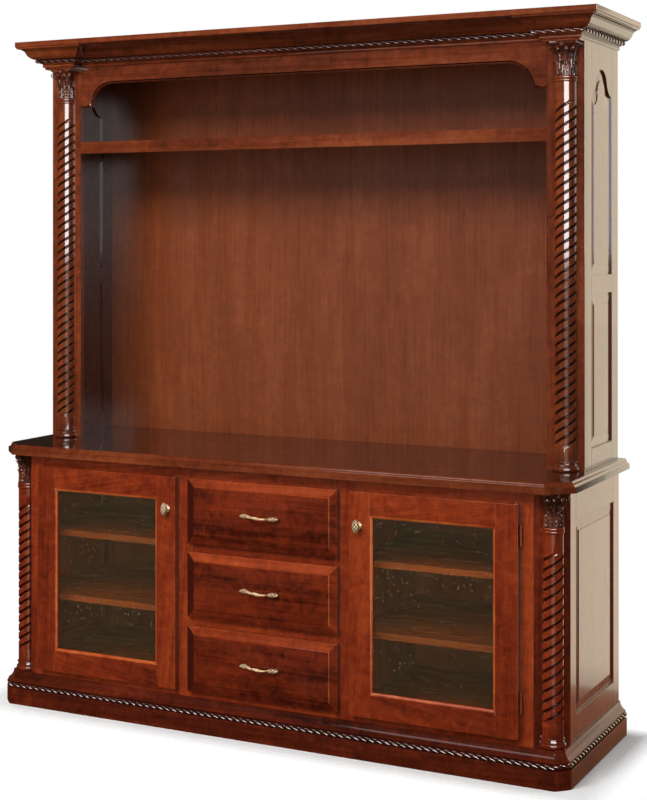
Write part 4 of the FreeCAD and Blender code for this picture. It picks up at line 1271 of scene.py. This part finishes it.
def floor():
    """A pale floor round the object, which fades into the white background."""
    mesh = bpy.data.meshes.new("floor")
    corners = [(x * FLOOR_HALF, y * FLOOR_HALF, 0) for x, y in ((-1, -1), (1, -1), (1, 1), (-1, 1))]
    mesh.from_pydata(corners, [], [range(4)])
    ground = new_object("floor", mesh)
    finish = Finish("floor_finish")
    squares = []
    for across, edge in zip(finish.apart(finish.place()), cad_box[1][:2]):
        past = finish.maths("SUBTRACT", finish.maths("ABSOLUTE", across), edge)
        past = finish.maths("MAXIMUM", past, 0.0)
        squares.append(finish.maths("MULTIPLY", past, past))
    away = finish.span(finish.maths("SQRT", finish.maths("ADD", *squares)), 0.0, FLOOR_FAR)
    seen = finish.add("ShaderNodeLightPath").outputs["Is Camera Ray"]
    colour = finish.mix(seen, FLOOR_BOUNCE, FLOOR_WHITE)
    matt = finish.add("ShaderNodeBsdfDiffuse", colour).outputs[0]
    gone = finish.add("ShaderNodeBsdfTransparent", WHITE).outputs[0]
    mesh.materials.append(finish.done(finish.shared(away, matt, gone)))
    ground.visible_glossy = False


def background():
    """White for the camera. Reflections see it behind the object only, and dim in front of it."""
    world = bpy.data.worlds.new("studio")
    world.use_nodes = True
    bpy.context.scene.world = world
    sky = Nodes(world.node_tree)
    rays = sky.add("ShaderNodeLightPath").outputs
    _, y, z = sky.apart(sky.add("ShaderNodeTexCoord").outputs["Generated"])
    behind = sky.span(y, *BACKDROP_EDGE, FRONT_SHINE, BACKDROP_SHINE)
    above = sky.span(z, *BACKDROP_FOOT, FOOT_SHARE, 1.0)
    under = sky.span(z, *BACKDROP_TOP, 1.0, TOP_SHARE)
    mirrored = sky.maths("MULTIPLY", behind, sky.maths("MULTIPLY", above, under))
    lit = sky.between(rays["Is Glossy Ray"], AMBIENT, mirrored)
    seen = sky.maths("MAXIMUM", rays["Is Camera Ray"], rays["Is Transmission Ray"])
    strength = sky.between(seen, lit, 1.0)
    colour = sky.mix(rays["Is Glossy Ray"], WHITE, BACKDROP_GLOW)
    shader = sky.add("ShaderNodeBackground", colour, strength).outputs[0]
    sky.add("ShaderNodeOutputWorld", shader)


def softbox(name, place, aim, width, height, radiance, colour=WHITE[:3], diffuse=True, glossy=True):
    """A rectangular lamp that the camera doesn't see, with the brightness of its face."""
    data = bpy.data.lights.new(name, "AREA")
    data.shape = "RECTANGLE"
    data.size = width
    data.size_y = height
    data.energy = radiance * math.pi * width * height
    data.color = colour
    lamp = new_object(name, data)
    lamp.location = place
    lamp.rotation_euler = (Vector(aim) - Vector(place)).to_track_quat("-Z", "Y").to_euler()
    lamp.visible_camera = False
    lamp.visible_diffuse = diffuse
    lamp.visible_glossy = glossy


floor()
background()
softbox("overhead", (-0.6, -3.5, 3.7), (0.0, 0.0, 0.9), 2.8, 1.4, 12.5, glossy=False)
softbox("overhead_shine", (-0.5, -3.4, 3.9), (0.0, 0.0, 0.9), 2.8, 1.6, 2.2, diffuse=False)
softbox("key", (-1.6, -4.2, 1.5), (0.1, 0.0, 1.0), 2.2, 2.4, 2.7, glossy=False)
softbox("highlight", (4.5, -7.0, 2.75), (0.0, 0.0, 1.6), 7.3, 2.8, 12.5, diffuse=False)
softbox("floor_shine", (4.1, -7.0, -0.35), (0.0, 0.0, -0.35), 4.6, 3.3, 0.9, FLOOR_GLOW, diffuse=False)
for level, z, height, radiance, glow in SIDE_LAMPS:
    place, aim = (SIDE_X, SIDE_Y, z), (SIDE_X, 0.0, z)
    softbox(f"side_{level}", place, aim, SIDE_WIDTH, height, radiance, glow, diffuse=False)
softbox("fill_right", (4.2, 1.8, 1.3), (1.0, 0.0, 1.0), 2.0, 2.0, 4.0, glossy=False)
softbox("fill_left", (-4.2, 1.8, 1.3), (-1.0, 0.0, 1.0), 2.0, 2.0, 4.0, glossy=False)
